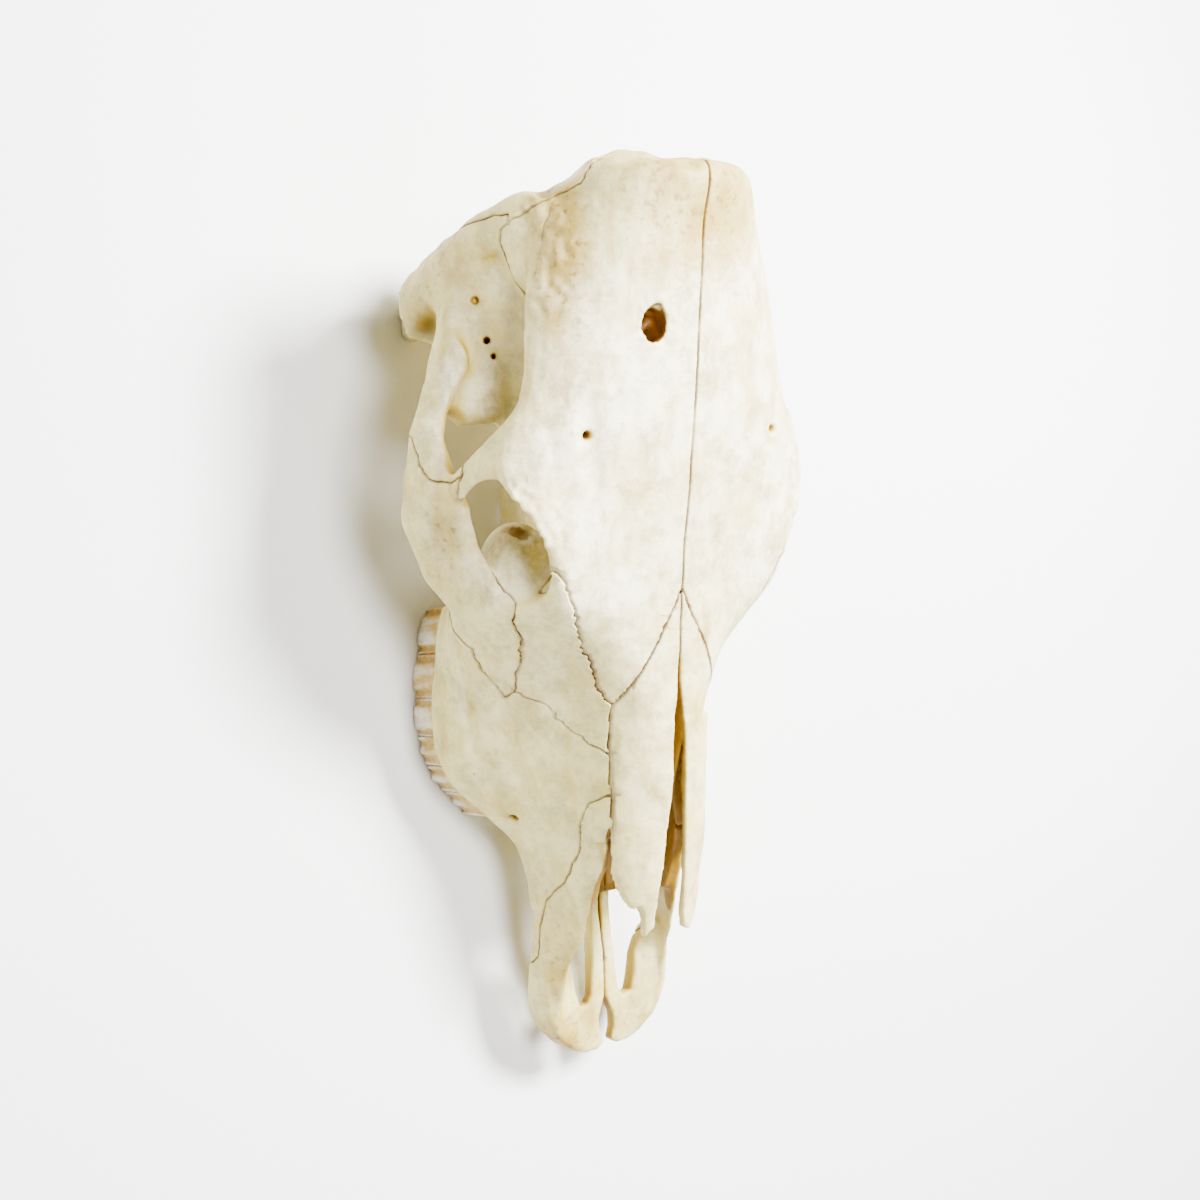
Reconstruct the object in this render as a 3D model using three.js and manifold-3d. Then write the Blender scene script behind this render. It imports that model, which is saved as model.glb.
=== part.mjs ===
// Skull of a hornless cow without its lower jaw, life size, in millimetres, +Z up, muzzle toward -Y.
import * as THREE from "three";
import Module from "manifold-3d";

const wasm = await Module();
wasm.setup();

// Working grid and fineness
const GRID = 3;
const FIELD_LOW = [-126, -12, -12];
const FIELD_HIGH = [126, 486, 225];
const FAR = 60;
const CURVE_STEPS = 5;
const BONE_FACES = 7600;
const SUTURE = 0.3;

// Half-sections of the skull, front to back: y, then from the roof's midline round the side to the palate
// roof, roof shoulder, roof edge, hollow, cheek, widest, lower edge, underside, each as across, up
const SECTIONS = [
  [84, 0, 111, 14, 107, 25, 94, 29, 84, 34, 70, 39, 55, 39.5, 40, 0, 48],
  [100, 0, 116, 15, 112, 26, 98, 30, 88, 36, 76, 40.5, 58, 40, 38, 0, 47],
  [122, 0, 122, 16, 118.5, 28.5, 104, 32, 94, 37, 82, 43, 62, 43, 36, 0, 46],
  [145, 0, 127.5, 16.5, 124, 29, 110, 36, 97, 44, 82, 57, 56, 59, 34, 0, 45],
  [165, 0, 133, 17, 129.5, 30, 115, 39, 98, 51, 79, 74, 47, 72, 29, 0, 44],
  [189, 0, 139, 17.5, 135.5, 31, 122, 43, 103, 58, 81, 83, 44, 77, 28, 0, 43],
  [216, 0, 145, 20, 143, 35, 133, 49, 113, 65, 91, 86, 52, 75, 28, 0, 42],
  [230, 0, 149, 23, 146.5, 42, 138, 59, 118, 73, 96, 87, 60, 72, 28, 0, 42],
  [240, 0, 151, 26, 149, 51, 142, 66, 124, 78, 102, 89, 68, 71, 28, 0, 42],
  [260, 0, 156, 38, 155, 67, 151.5, 76, 139, 83, 122, 91, 84, 66, 30, 0, 44],
  [280, 0, 162, 44, 160, 77, 156.5, 74, 138, 54, 118, 46, 95, 40, 58, 0, 60],
  [300, 0, 168.5, 50, 164.5, 89, 155.5, 80, 134, 48, 118, 40, 98, 32, 66, 0, 66],
  [325, 0, 176, 58, 171, 95, 150, 78, 136, 50, 118, 44, 98, 32, 68, 0, 66],
  [340, 0, 181, 58, 175, 90, 149, 68, 138, 56, 118, 52, 98, 36, 68, 0, 65],
  [355, 0, 185, 52, 179, 83, 153, 62, 137, 62, 119, 62, 100, 42, 68, 0, 64],
  [374, 0, 190, 48, 183, 78.5, 157, 60, 139, 67, 121, 73, 101, 50, 68, 0, 63],
  [406, 0, 199, 43, 190, 74.5, 161, 61, 144, 73, 124, 85, 98, 62, 65, 0, 60],
  [433, 0, 206, 38, 197, 66, 167, 62, 149, 78, 126, 92, 94, 74, 62, 0, 58],
  [449, 0, 213, 34, 203, 58.5, 172, 63, 153, 82, 134, 95, 98, 78, 62, 0, 57],
  [470, 0, 216, 30, 207, 48, 180, 63, 160, 86, 141, 98, 104, 80, 62, 0, 56],
];
const LOFT_FRONT = 90;
const LOFT_BACK = 470;

// Cheek arch, eye socket and braincase: outlines seen from above, bars as rows of x, y, z and radius
const ARCH_ROOT_SHELF = [[46, 354], [86, 352], [98, 362], [97, 384], [93, 404], [88, 424], [46, 424]];
const CHEEK_ARCH = [
  [66, 236, 98, 7], [80, 250, 106, 11.5], [91, 267, 101, 16], [99, 285, 96, 18], [105, 306, 98, 20],
  [107, 322, 100, 16], [107, 346, 101, 10], [100, 368, 104, 8.5], [90, 384, 106, 9],
];
const BEHIND_EYE = [[74, 341, 151, 24], [90, 331, 143, 20], [101, 323, 127, 14], [107, 316, 106, 10]];
const EYE_SOCKET = [[120, 276, 137, 33], [86, 290, 134, 32.5], [45, 312, 121, 15]];
const TEMPORAL_CREST = [[66, 446, 158, 6], [79, 442, 133, 9], [87, 431, 104, 11], [90, 422, 76, 11]];
const CONDYLE_PROCESS = [[64, 430, 64, 20], [61, 428, 38, 15], [55, 424, 7, 10]];
const GREAT_FORAMEN = [[0, 480, 84, 18], [0, 415, 88, 16]];
const EAR_TUBE = [[64, 408, 74, 13], [84, 411, 66, 8]];
const BRAINCASE_FLOOR = [[0, 438, 66, 17], [0, 330, 70, 15]];
const THROAT_PLATE = [[23, 262, 44, 18], [21, 292, 42, 22], [22, 318, 34, 12]];
const THROAT_ROOT = [[22, 300, 60, 16], [24, 330, 66, 12]];

// Muzzle: front jaw bones with the strips that run back between the slits of the palate, and the nose
const FRONT_JAW = [
  [2, 2], [7, -1.5], [14, -1], [23, 3], [31, 11], [36, 19], [40, 30], [41, 46], [40, 64], [36, 66], [29, 60],
  [22, 48], [21, 36], [18, 27], [13, 27], [10, 31], [7.5, 54], [7, 90], [6, 140], [0.4, 140], [0.4, 28],
  [2, 23], [4.5, 17], [4.5, 9],
];
const NASAL_PROCESS = [
  [39, 28, 32, 7], [39.5, 40, 38, 10], [38.5, 55, 46, 13], [37, 73, 53, 16], [35, 95, 63, 17],
  [33.5, 118, 76, 21],
];
const JAW_BODY = [[18, 8, 32, 5], [28, 17, 33, 8], [33, 32, 35, 9.5], [34, 50, 41, 9], [35, 62, 47, 6]];
const NASAL_PASSAGE = [[0, 60, 74, 25], [0, 120, 84, 26], [0, 190, 92, 24], [0, 240, 100, 14]];

// Nasal bones: the left one has sprung outward at its front, which opens the slit between them
const NASAL_HALF = 3;
const NASAL_FRONT = 84;
const NASAL_ROOT = 254;
const LEFT_SPRUNG = 8;
const SNOUT = [
  [-21, 70], [28, 70], [33, 92], [34.5, 122], [34, 140], [31, 190], [-29, 190], [-29, 140], [-29, 122],
  [-26, 92],
];
const NASAL_TIPS = [
  [46, 50], [46, 121], [35, 124], [32, 109], [27, 92], [21, 79], [15.5, 73], [11.5, 75], [10, 84], [9.5, 95],
  [8.6, 118], [5.5, 157], [0.8, 200], [0, 254], [-0.6, 200], [-1.2, 140], [-4.5, 115], [-7, 92], [-8.5, 79],
  [-13, 74.5], [-13.5, 88], [-15.5, 92], [-18, 90], [-20, 87.5], [-23.4, 94], [-26.5, 105], [-28, 122],
  [-40, 121], [-40, 50],
];

// Cheek teeth, front to back: start, length, width, outer face, ridges down the outer face
const TEETH = [
  { name: "second premolar", y: 142, length: 15, width: 14, outer: 62.5, ridges: 2 },
  { name: "third premolar", y: 157.5, length: 16, width: 16, outer: 74.5, ridges: 2 },
  { name: "fourth premolar", y: 174, length: 16.5, width: 18, outer: 80, ridges: 2 },
  { name: "first molar", y: 191, length: 21, width: 21, outer: 81, ridges: 3 },
  { name: "second molar", y: 212.5, length: 24, width: 22, outer: 78.5, ridges: 3 },
  { name: "third molar", y: 237, length: 25, width: 21, outer: 71.5, ridges: 3 },
];
const TOOTH_ROOT = 44;
const GUM_LINE = 30;
const TOOTH_STEPS = 20;
const RIDGE_DEPTH = 1.5;

// Blending of two distances over a width
function smoothMin(a, b, width) {
  if (width <= 0) {
    return Math.min(a, b);
  }
  const h = Math.min(1, Math.max(0, 0.5 + (0.5 * (b - a)) / width));
  return b + (a - b) * h - width * h * (1 - h);
}

// Smooth curve through rows that start with a place and go on with its values
function curveThrough(rows) {
  const count = rows.length;
  const size = rows[0].length - 1;
  const slope = rows.map(() => new Array(size).fill(0));
  for (let c = 0; c < size; c++) {
    const step = (i) => (rows[i + 1][c + 1] - rows[i][c + 1]) / (rows[i + 1][0] - rows[i][0]);
    slope[0][c] = step(0);
    slope[count - 1][c] = step(count - 2);
    for (let i = 1; i < count - 1; i++) {
      const before = step(i - 1);
      const after = step(i);
      const hBefore = rows[i][0] - rows[i - 1][0];
      const hAfter = rows[i + 1][0] - rows[i][0];
      const w1 = 2 * hAfter + hBefore;
      const w2 = hAfter + 2 * hBefore;
      slope[i][c] = before * after > 0 ? (w1 + w2) / (w1 / before + w2 / after) : 0;
    }
  }
  return (place) => {
    const y = Math.min(rows[count - 1][0], Math.max(rows[0][0], place));
    let i = 0;
    while (i < count - 2 && rows[i + 1][0] <= y) {
      i++;
    }
    const h = rows[i + 1][0] - rows[i][0];
    const t = (y - rows[i][0]) / h;
    const u = 1 - t;
    return slope[i].map((m, c) =>
      rows[i][c + 1] * (1 + 2 * t) * u * u + h * m * t * u * u
      + rows[i + 1][c + 1] * t * t * (3 - 2 * t) + h * slope[i + 1][c] * t * t * (t - 1));
  };
}

// Rounded half-section through a row of across, up values
function roundedSection(values) {
  const points = [];
  for (let i = 0; i < values.length; i += 2) {
    points.push([values[i], values[i + 1]]);
  }
  const last = points.length - 1;
  const all = [[-points[1][0], points[1][1]], ...points, [-points[last - 1][0], points[last - 1][1]]];
  const out = [];
  for (let i = 1; i < all.length - 2; i++) {
    for (let s = 0; s < CURVE_STEPS; s++) {
      const t = s / CURVE_STEPS;
      const [a, b, c, d] = [all[i - 1], all[i], all[i + 1], all[i + 2]];
      const blend = (k) => 0.5 * (2 * b[k] + (c[k] - a[k]) * t
        + (2 * a[k] - 5 * b[k] + 4 * c[k] - d[k]) * t * t
        + (3 * b[k] - a[k] - 3 * c[k] + d[k]) * t * t * t);
      out.push([blend(0), blend(1)]);
    }
  }
  out.push(points[last]);
  return out;
}

// Signed distance in a plane to an outline, closed or open along the midline
function outlineDistance(p, q, outline, closed) {
  let best = 1e9;
  let inside = false;
  const count = closed ? outline.length : outline.length - 1;
  for (let i = 0; i < count; i++) {
    const [ax, ay] = outline[i];
    const [bx, by] = outline[(i + 1) % outline.length];
    const ex = bx - ax;
    const ey = by - ay;
    const dx = p - ax;
    const dy = q - ay;
    const t = Math.min(1, Math.max(0, (dx * ex + dy * ey) / (ex * ex + ey * ey + 1e-12)));
    best = Math.min(best, (dx - t * ex) ** 2 + (dy - t * ey) ** 2);
    if (ay > q !== by > q && p < (ex * (q - ay)) / ey + ax) {
      inside = !inside;
    }
  }
  return (inside ? -1 : 1) * Math.sqrt(best);
}

// Block of clay held as distances on a grid
class Clay {
  constructor() {
    this.n = [0, 1, 2].map((a) => Math.round((FIELD_HIGH[a] - FIELD_LOW[a]) / GRID) + 1);
    this.f = new Float32Array(this.n[0] * this.n[1] * this.n[2]).fill(FAR);
  }
  at(i, j, k) {
    return (i * this.n[1] + j) * this.n[2] + k;
  }
  place(axis, index) {
    return FIELD_LOW[axis] + index * GRID;
  }
  // Calls a rule on each grid point of a box and keeps what it returns
  each(low, high, rule) {
    const from = low.map((v, a) => Math.max(0, Math.ceil((v - FIELD_LOW[a]) / GRID)));
    const to = high.map((v, a) => Math.min(this.n[a] - 1, Math.floor((v - FIELD_LOW[a]) / GRID)));
    for (let i = from[0]; i <= to[0]; i++) {
      for (let j = from[1]; j <= to[1]; j++) {
        for (let k = from[2]; k <= to[2]; k++) {
          const at = this.at(i, j, k);
          this.f[at] = rule(this.f[at], this.place(0, i), this.place(1, j), this.place(2, k));
        }
      }
    }
  }
  work(shape, blend, rule) {
    const pad = blend + 2 * GRID;
    for (const side of shape.paired ? [1, -1] : [1]) {
      const low = shape.low.map((v) => v - pad);
      const high = shape.high.map((v) => v + pad);
      if (side < 0) {
        [low[0], high[0]] = [-high[0], -low[0]];
      }
      this.each(low, high, (f, x, y, z) => rule(f, shape.distance(x * side, y, z)));
    }
  }
  add(shape, blend) {
    this.work(shape, blend, (f, d) => smoothMin(f, d, blend));
  }
  cut(shape, blend) {
    this.work(shape, blend, (f, d) => -smoothMin(-f, d, blend));
  }
  trim(distance, blend) {
    this.each(FIELD_LOW, FIELD_HIGH, (f, x, y, z) => -smoothMin(-f, -distance(x, y, z), blend));
  }
}

// Egg shape with its own three axes
function egg(centre, radii, { paired = true, axes = [[1, 0, 0], [0, 1, 0], [0, 0, 1]] } = {}) {
  const reach = [0, 1, 2].map((a) => Math.hypot(...axes.map((axis, i) => axis[a] * radii[i])));
  const distance = (x, y, z) => {
    const d = [x - centre[0], y - centre[1], z - centre[2]];
    let near = 0;
    let slope = 0;
    for (let i = 0; i < 3; i++) {
      const along = d[0] * axes[i][0] + d[1] * axes[i][1] + d[2] * axes[i][2];
      near += (along / radii[i]) ** 2;
      slope += (along / radii[i] ** 2) ** 2;
    }
    near = Math.sqrt(near);
    return (near * (near - 1)) / (Math.sqrt(slope) + 1e-9);
  };
  return {
    low: centre.map((v, a) => v - reach[a]),
    high: centre.map((v, a) => v + reach[a]),
    distance,
    paired,
  };
}

// Bar through stops of x, y, z and radius, thinned along a direction when it is a plate
function bar(stops, { paired = true, thin = null, share = 1 } = {}) {
  const n = thin ? new THREE.Vector3(...thin).normalize().toArray() : [0, 0, 0];
  const squeeze = 1 / share ** 2 - 1;
  const scale = Math.min(1, share * 1.6);
  const distance = (x, y, z) => {
    let best = 1e9;
    for (let i = 0; i < stops.length - 1; i++) {
      const a = stops[i];
      const b = stops[i + 1];
      const e = [b[0] - a[0], b[1] - a[1], b[2] - a[2]];
      const p = [x - a[0], y - a[1], z - a[2]];
      const along = (p[0] * e[0] + p[1] * e[1] + p[2] * e[2]) / (e[0] ** 2 + e[1] ** 2 + e[2] ** 2);
      const t = Math.min(1, Math.max(0, along));
      const q = [p[0] - t * e[0], p[1] - t * e[1], p[2] - t * e[2]];
      const across = q[0] * n[0] + q[1] * n[1] + q[2] * n[2];
      const far = Math.sqrt(q[0] ** 2 + q[1] ** 2 + q[2] ** 2 + across ** 2 * squeeze);
      best = Math.min(best, (far - a[3] - t * (b[3] - a[3])) * scale);
    }
    return best;
  };
  const most = Math.max(...stops.map((s) => s[3]));
  return {
    low: [0, 1, 2].map((a) => Math.min(...stops.map((s) => s[a])) - most),
    high: [0, 1, 2].map((a) => Math.max(...stops.map((s) => s[a])) + most),
    distance,
    paired,
  };
}

// Plate with an outline seen from above, a middle height and a half thickness
function plate(outline, middle, half, heights, { paired = true, edge = 2 } = {}) {
  const distance = (x, y, z) => {
    const d = outlineDistance(x, y, outline, true);
    return -smoothMin(-d, half - Math.abs(z - middle(x, y)), edge);
  };
  const xs = outline.map((p) => p[0]);
  const ys = outline.map((p) => p[1]);
  return {
    low: [Math.min(...xs), Math.min(...ys), heights[0]],
    high: [Math.max(...xs), Math.max(...ys), heights[1]],
    distance,
    paired,
  };
}

const sectionAt = curveThrough(SECTIONS);

// How far the left nasal bone has sprung out at a place along it
function sprung(y) {
  return LEFT_SPRUNG * Math.min(1, Math.max(0, (NASAL_ROOT - y) / (NASAL_ROOT - NASAL_FRONT)));
}

// Height of the middle of a nasal bone
function nasalMiddle(x, y) {
  const s = sectionAt(Math.min(260, Math.max(NASAL_FRONT, y)));
  const crown = s[1] - 0.28 * Math.max(0, NASAL_FRONT - y);
  const fall = (crown - s[5]) * 0.92;
  const across = x > 0 ? Math.max(0, x - sprung(y)) : -x;
  return crown - fall * Math.min(1.6, across / s[4]) ** 2.2 - NASAL_HALF;
}

// Core of the skull through its sections, cut off by the notch of the nose and the back of the head
function skullCore(clay) {
  const [nx, ny, nz] = clay.n;
  for (let j = 0; j < ny; j++) {
    const y = clay.place(1, j);
    const section = roundedSection(sectionAt(Math.min(LOFT_BACK, Math.max(LOFT_FRONT, y))));
    const beyond = Math.max(LOFT_FRONT - y, y - LOFT_BACK);
    for (let i = 0; i < nx; i++) {
      for (let k = 0; k < nz; k++) {
        const d = outlineDistance(Math.abs(clay.place(0, i)), clay.place(2, k), section, false);
        clay.f[clay.at(i, j, k)] = Math.max(d, beyond);
      }
    }
  }
  clay.trim((x, y, z) => 0.64 * (80 + 1.2 * Math.max(0, z - 71) - y), 3);
  clay.trim((x, y, z) => {
    const undercut = 0.25 * Math.max(0, 130 - z);
    const crown = 0.0042 * Math.max(0, z - 165) ** 2;
    return 0.95 * (y - 467.5 + undercut + 0.0036 * x * x + crown);
  }, 6);
  clay.add(egg([27, 457, 177], [19, 13, 17]), 9);
}

// Eye socket with the thin-walled swelling on its floor, cheekbone and cheek arch
function eyeAndCheek(clay) {
  const shelfMiddle = (x, y) => 101 + 0.05 * (y - 354) + 0.004 * Math.max(0, 84 - x) ** 2;
  clay.add(plate(ARCH_ROOT_SHELF, shelfMiddle, 7, [70, 125], { edge: 6 }), 9);
  clay.add(bar(CHEEK_ARCH, { thin: [0.9, -0.15, 0.42], share: 0.42 }), 7);
  clay.add(bar(BEHIND_EYE, { thin: [0.87, 0, 0.49], share: 0.32 }), 6);
  clay.cut(bar(EYE_SOCKET, { thin: [-0.15, 0, 1], share: 0.68 }), 3);
  clay.add(egg([62, 278, 101], [19, 30, 19]), 5);
}

// Condyles, crests, ear and underside of the skull
function backAndBase(clay) {
  const leaning = [[0.92, -0.2, 0.34], [0.2, 0.98, 0.04], [-0.34, 0.03, 0.94]];
  clay.add(egg([26, 450, 76], [16, 17, 27], { axes: leaning }), 8);
  clay.add(bar(CONDYLE_PROCESS, { thin: [1, 0.2, 0], share: 0.6 }), 8);
  clay.cut(bar(GREAT_FORAMEN, { paired: false }), 3);
  clay.add(bar(EAR_TUBE), 6);
  clay.add(bar(TEMPORAL_CREST, { thin: [0.97, -0.04, 0.23], share: 0.5 }), 10);
  clay.add(egg([41, 398, 50], [9, 16, 22]), 6);
  clay.add(bar(BRAINCASE_FLOOR, { paired: false }), 12);
  clay.add(bar(THROAT_PLATE, { thin: [1, 0, 0], share: 0.27 }), 5);
  clay.add(bar(THROAT_ROOT, { thin: [1, 0, 0], share: 0.4 }), 6);
}

// Front jaw bones, nasal passage and the roof of the nose, drawn out past the upper jaw
function muzzle(clay) {
  const jawMiddle = (x, y) =>
    33.5 + 0.1 * Math.min(120, Math.max(0, y)) + 0.003 * Math.max(0, x - 14) ** 2;
  clay.add(plate(FRONT_JAW, jawMiddle, 4.5, [15, 56], { edge: 3 }), 2);
  clay.add(bar(NASAL_PROCESS, { thin: [0.95, 0, 0.32], share: 0.24 }), 4);
  clay.add(bar(JAW_BODY), 8);
  clay.cut(bar(NASAL_PASSAGE, { paired: false, thin: [1, 0, 0], share: 0.9 }), 3);
  clay.add(plate(SNOUT, nasalMiddle, NASAL_HALF, [80, 146], { paired: false }), 2);
}

// Whole skull in clay
function skullClay() {
  const clay = new Clay();
  for (const step of [skullCore, eyeAndCheek, backAndBase, muzzle]) {
    step(clay);
  }
  return clay;
}

// Closed surface of the clay
function clayed(clay) {
  const f = clay.f;
  const [nx, ny, nz] = clay.n;
  const jump = [ny * nz, nz, 1];
  for (let pass = 0, more = true; more && pass < 20; pass++) {
    more = false;
    for (const [a, b] of [[0, 1], [0, 2], [1, 2]]) {
      const end = [nx, ny, nz];
      end[a]--;
      end[b]--;
      for (let i = 0; i < end[0]; i++) {
        for (let j = 0; j < end[1]; j++) {
          for (let k = 0; k < end[2]; k++) {
            const p = clay.at(i, j, k);
            const corner = [p, p + jump[a], p + jump[b], p + jump[a] + jump[b]];
            const [c00, c10, c01, c11] = corner.map((c) => f[c] < 0);
            if (c00 === c11 && c10 === c01 && c00 !== c10) {
              f[c00 ? corner[1] : corner[0]] = -0.02 * GRID;
              more = true;
            }
          }
        }
      }
    }
  }
  const cell = new Int32Array(nx * ny * nz).fill(-1);
  const points = [];
  for (let i = 0; i < nx - 1; i++) {
    for (let j = 0; j < ny - 1; j++) {
      for (let k = 0; k < nz - 1; k++) {
        const sum = [0, 0, 0];
        let crossings = 0;
        for (let c = 0; c < 8; c++) {
          const o = [c >> 2, (c >> 1) & 1, c & 1];
          const from = f[clay.at(i + o[0], j + o[1], k + o[2])];
          for (let axis = 0; axis < 3; axis++) {
            if (o[axis] === 0) {
              const to = f[clay.at(i + o[0], j + o[1], k + o[2]) + jump[axis]];
              if (from < 0 !== to < 0) {
                o.forEach((v, a) => (sum[a] += v));
                sum[axis] += from / (from - to);
                crossings++;
              }
            }
          }
        }
        if (crossings) {
          cell[clay.at(i, j, k)] = points.length;
          points.push([i, j, k].map((v, a) => FIELD_LOW[a] + (v + sum[a] / crossings) * GRID));
        }
      }
    }
  }
  const faces = [];
  for (let axis = 0; axis < 3; axis++) {
    const u = jump[(axis + 1) % 3];
    const v = jump[(axis + 2) % 3];
    for (let i = 1; i < nx - 1; i++) {
      for (let j = 1; j < ny - 1; j++) {
        for (let k = 1; k < nz - 1; k++) {
          const p = clay.at(i, j, k);
          const solid = f[p] < 0;
          if (solid !== f[p + jump[axis]] < 0) {
            const q = [cell[p - u - v], cell[p - v], cell[p], cell[p - u]];
            if (!solid) {
              q.reverse();
            }
            faces.push([q[0], q[1], q[2]], [q[0], q[2], q[3]]);
          }
        }
      }
    }
  }
  return { points, faces };
}

// Fewer faces by collapsing the edges that change the surface least
function simplified({ points, faces }, target) {
  const quadric = points.map(() => new Float64Array(10));
  const around = points.map(() => new Set());
  const alive = faces.map(() => true);
  const stamp = new Int32Array(points.length);
  const sub = (a, b) => [a[0] - b[0], a[1] - b[1], a[2] - b[2]];
  const cross = (a, b) => [a[1] * b[2] - a[2] * b[1], a[2] * b[0] - a[0] * b[2], a[0] * b[1] - a[1] * b[0]];
  const dot = (a, b) => a[0] * b[0] + a[1] * b[1] + a[2] * b[2];
  const normal = (a, b, c) => cross(sub(b, a), sub(c, a));
  faces.forEach((face, i) => {
    const n = normal(...face.map((v) => points[v]));
    const size = Math.hypot(...n) || 1e-9;
    const [a, b, c] = n.map((v) => v / size);
    const d = -dot([a, b, c], points[face[0]]);
    const terms = [a * a, a * b, a * c, a * d, b * b, b * c, b * d, c * c, c * d, d * d];
    for (const v of face) {
      terms.forEach((term, t) => (quadric[v][t] += term * size));
      around[v].add(i);
    }
  });
  const price = (q, p) => {
    const [x, y, z] = p;
    return q[0] * x * x + 2 * q[1] * x * y + 2 * q[2] * x * z + 2 * q[3] * x + q[4] * y * y
      + 2 * q[5] * y * z + 2 * q[6] * y + q[7] * z * z + 2 * q[8] * z + q[9];
  };
  const best = (u, v) => {
    const q = quadric[u].map((term, t) => term + quadric[v][t]);
    const middle = points[u].map((p, a) => (p + points[v][a]) / 2);
    const choices = [points[u], points[v], middle];
    const rows = [[q[0], q[1], q[2]], [q[1], q[4], q[5]], [q[2], q[5], q[7]]];
    const right = [-q[3], -q[6], -q[8]];
    const det = dot(rows[0], cross(rows[1], rows[2]));
    if (Math.abs(det) > 1e-6 * (q[0] + q[4] + q[7]) ** 3) {
      const spot = [
        dot(right, cross(rows[1], rows[2])) / det,
        dot(rows[0], cross(right, rows[2])) / det,
        dot(rows[0], cross(rows[1], right)) / det,
      ];
      const reach = Math.hypot(...sub(points[u], points[v]));
      if (Math.hypot(...sub(spot, middle)) < 1.5 * reach) {
        choices.push(spot);
      }
    }
    const costs = choices.map((p) => price(q, p));
    const least = costs.indexOf(Math.min(...costs));
    return { spot: choices[least], cost: Math.max(0, costs[least]) };
  };
  const heap = [];
  const push = (item) => {
    let at = heap.push(item) - 1;
    while (at > 0) {
      const up = (at - 1) >> 1;
      if (heap[up].cost <= heap[at].cost) {
        break;
      }
      [heap[up], heap[at]] = [heap[at], heap[up]];
      at = up;
    }
  };
  const pop = () => {
    const top = heap[0];
    const last = heap.pop();
    if (heap.length) {
      heap[0] = last;
      let at = 0;
      for (;;) {
        let low = at;
        for (const next of [2 * at + 1, 2 * at + 2]) {
          if (next < heap.length && heap[next].cost < heap[low].cost) {
            low = next;
          }
        }
        if (low === at) {
          break;
        }
        [heap[low], heap[at]] = [heap[at], heap[low]];
        at = low;
      }
    }
    return top;
  };
  const neighbours = (v) => {
    const out = new Set();
    for (const i of around[v]) {
      faces[i].forEach((w) => w !== v && out.add(w));
    }
    return out;
  };
  const offer = (u, v) => {
    push({ u, v, ...best(u, v), us: stamp[u], vs: stamp[v] });
  };
  points.forEach((p, u) => {
    for (const v of neighbours(u)) {
      if (u < v) {
        offer(u, v);
      }
    }
  });
  const turns = (v, other, spot) => {
    for (const i of around[v]) {
      const face = faces[i];
      if (!face.includes(other)) {
        const was = normal(...face.map((w) => points[w]));
        const is = normal(...face.map((w) => (w === v ? spot : points[w])));
        if (dot(was, is) < 0.25 * Math.hypot(...was) * Math.hypot(...is)) {
          return true;
        }
      }
    }
    return false;
  };
  let left = faces.length;
  while (left > target && heap.length) {
    const { u, v, spot, us, vs } = pop();
    if (stamp[u] !== us || stamp[v] !== vs) {
      continue;
    }
    const near = neighbours(v);
    const shared = [...neighbours(u)].filter((w) => near.has(w));
    if (shared.length !== 2 || turns(u, v, spot) || turns(v, u, spot)) {
      continue;
    }
    points[u] = spot;
    quadric[v].forEach((term, t) => (quadric[u][t] += term));
    for (const i of around[v]) {
      if (faces[i].includes(u)) {
        alive[i] = false;
        faces[i].forEach((w) => around[w].delete(i));
        left--;
      } else {
        faces[i] = faces[i].map((w) => (w === v ? u : w));
        around[u].add(i);
      }
    }
    around[v].clear();
    stamp[u]++;
    stamp[v] = -1;
    for (const w of neighbours(u)) {
      offer(u, w);
    }
  }
  return { points, faces: faces.filter((face, i) => alive[i]) };
}

// Solid from points and faces
function solid({ points, faces }) {
  const renumber = new Map();
  const kept = [];
  for (const face of faces) {
    for (const v of face) {
      if (!renumber.has(v)) {
        renumber.set(v, kept.length);
        kept.push(points[v]);
      }
    }
  }
  return new wasm.Manifold(new wasm.Mesh({
    numProp: 3,
    vertProperties: new Float32Array(kept.flat()),
    triVerts: new Uint32Array(faces.flat().map((v) => renumber.get(v))),
  }));
}

// Outline moved outward by a distance, or inward by a negative one
function widened(outline, by) {
  const turn = THREE.ShapeUtils.area(outline.map((p) => new THREE.Vector2(...p))) > 0 ? 1 : -1;
  const count = outline.length;
  return outline.map((p, i) => {
    const before = outline[(i + count - 1) % count];
    const after = outline[(i + 1) % count];
    const inward = new THREE.Vector2(p[0] - before[0], p[1] - before[1]).normalize();
    const onward = new THREE.Vector2(after[0] - p[0], after[1] - p[1]).normalize();
    const across = new THREE.Vector2(inward.y + onward.y, -inward.x - onward.x);
    const stretch = (2 * by * turn) / Math.max(0.5, across.lengthSq());
    return [p[0] + across.x * stretch, p[1] + across.y * stretch];
  });
}

// Prism over an outline: along z when it is seen from above, along x when it is seen from the side
function prism(outline, from, to, seen) {
  const flat = outline.map((p) => new THREE.Vector2(...p));
  const ring = THREE.ShapeUtils.area(flat) > 0 ? outline : [...outline].reverse();
  const caps = THREE.ShapeUtils.triangulateShape(ring.map((p) => new THREE.Vector2(...p)), []);
  const count = ring.length;
  const spot = (p, h) => (seen === "above" ? [p[0], p[1], h] : [h, p[0], p[1]]);
  const points = [...ring.map((p) => spot(p, from)), ...ring.map((p) => spot(p, to))];
  const faces = [];
  for (const [a, b, c] of caps) {
    faces.push([c, b, a], [a + count, b + count, c + count]);
  }
  for (let i = 0; i < count; i++) {
    const j = (i + 1) % count;
    faces.push([i, j, j + count], [i, j + count, i + count]);
  }
  return solid({ points, faces });
}

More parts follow.
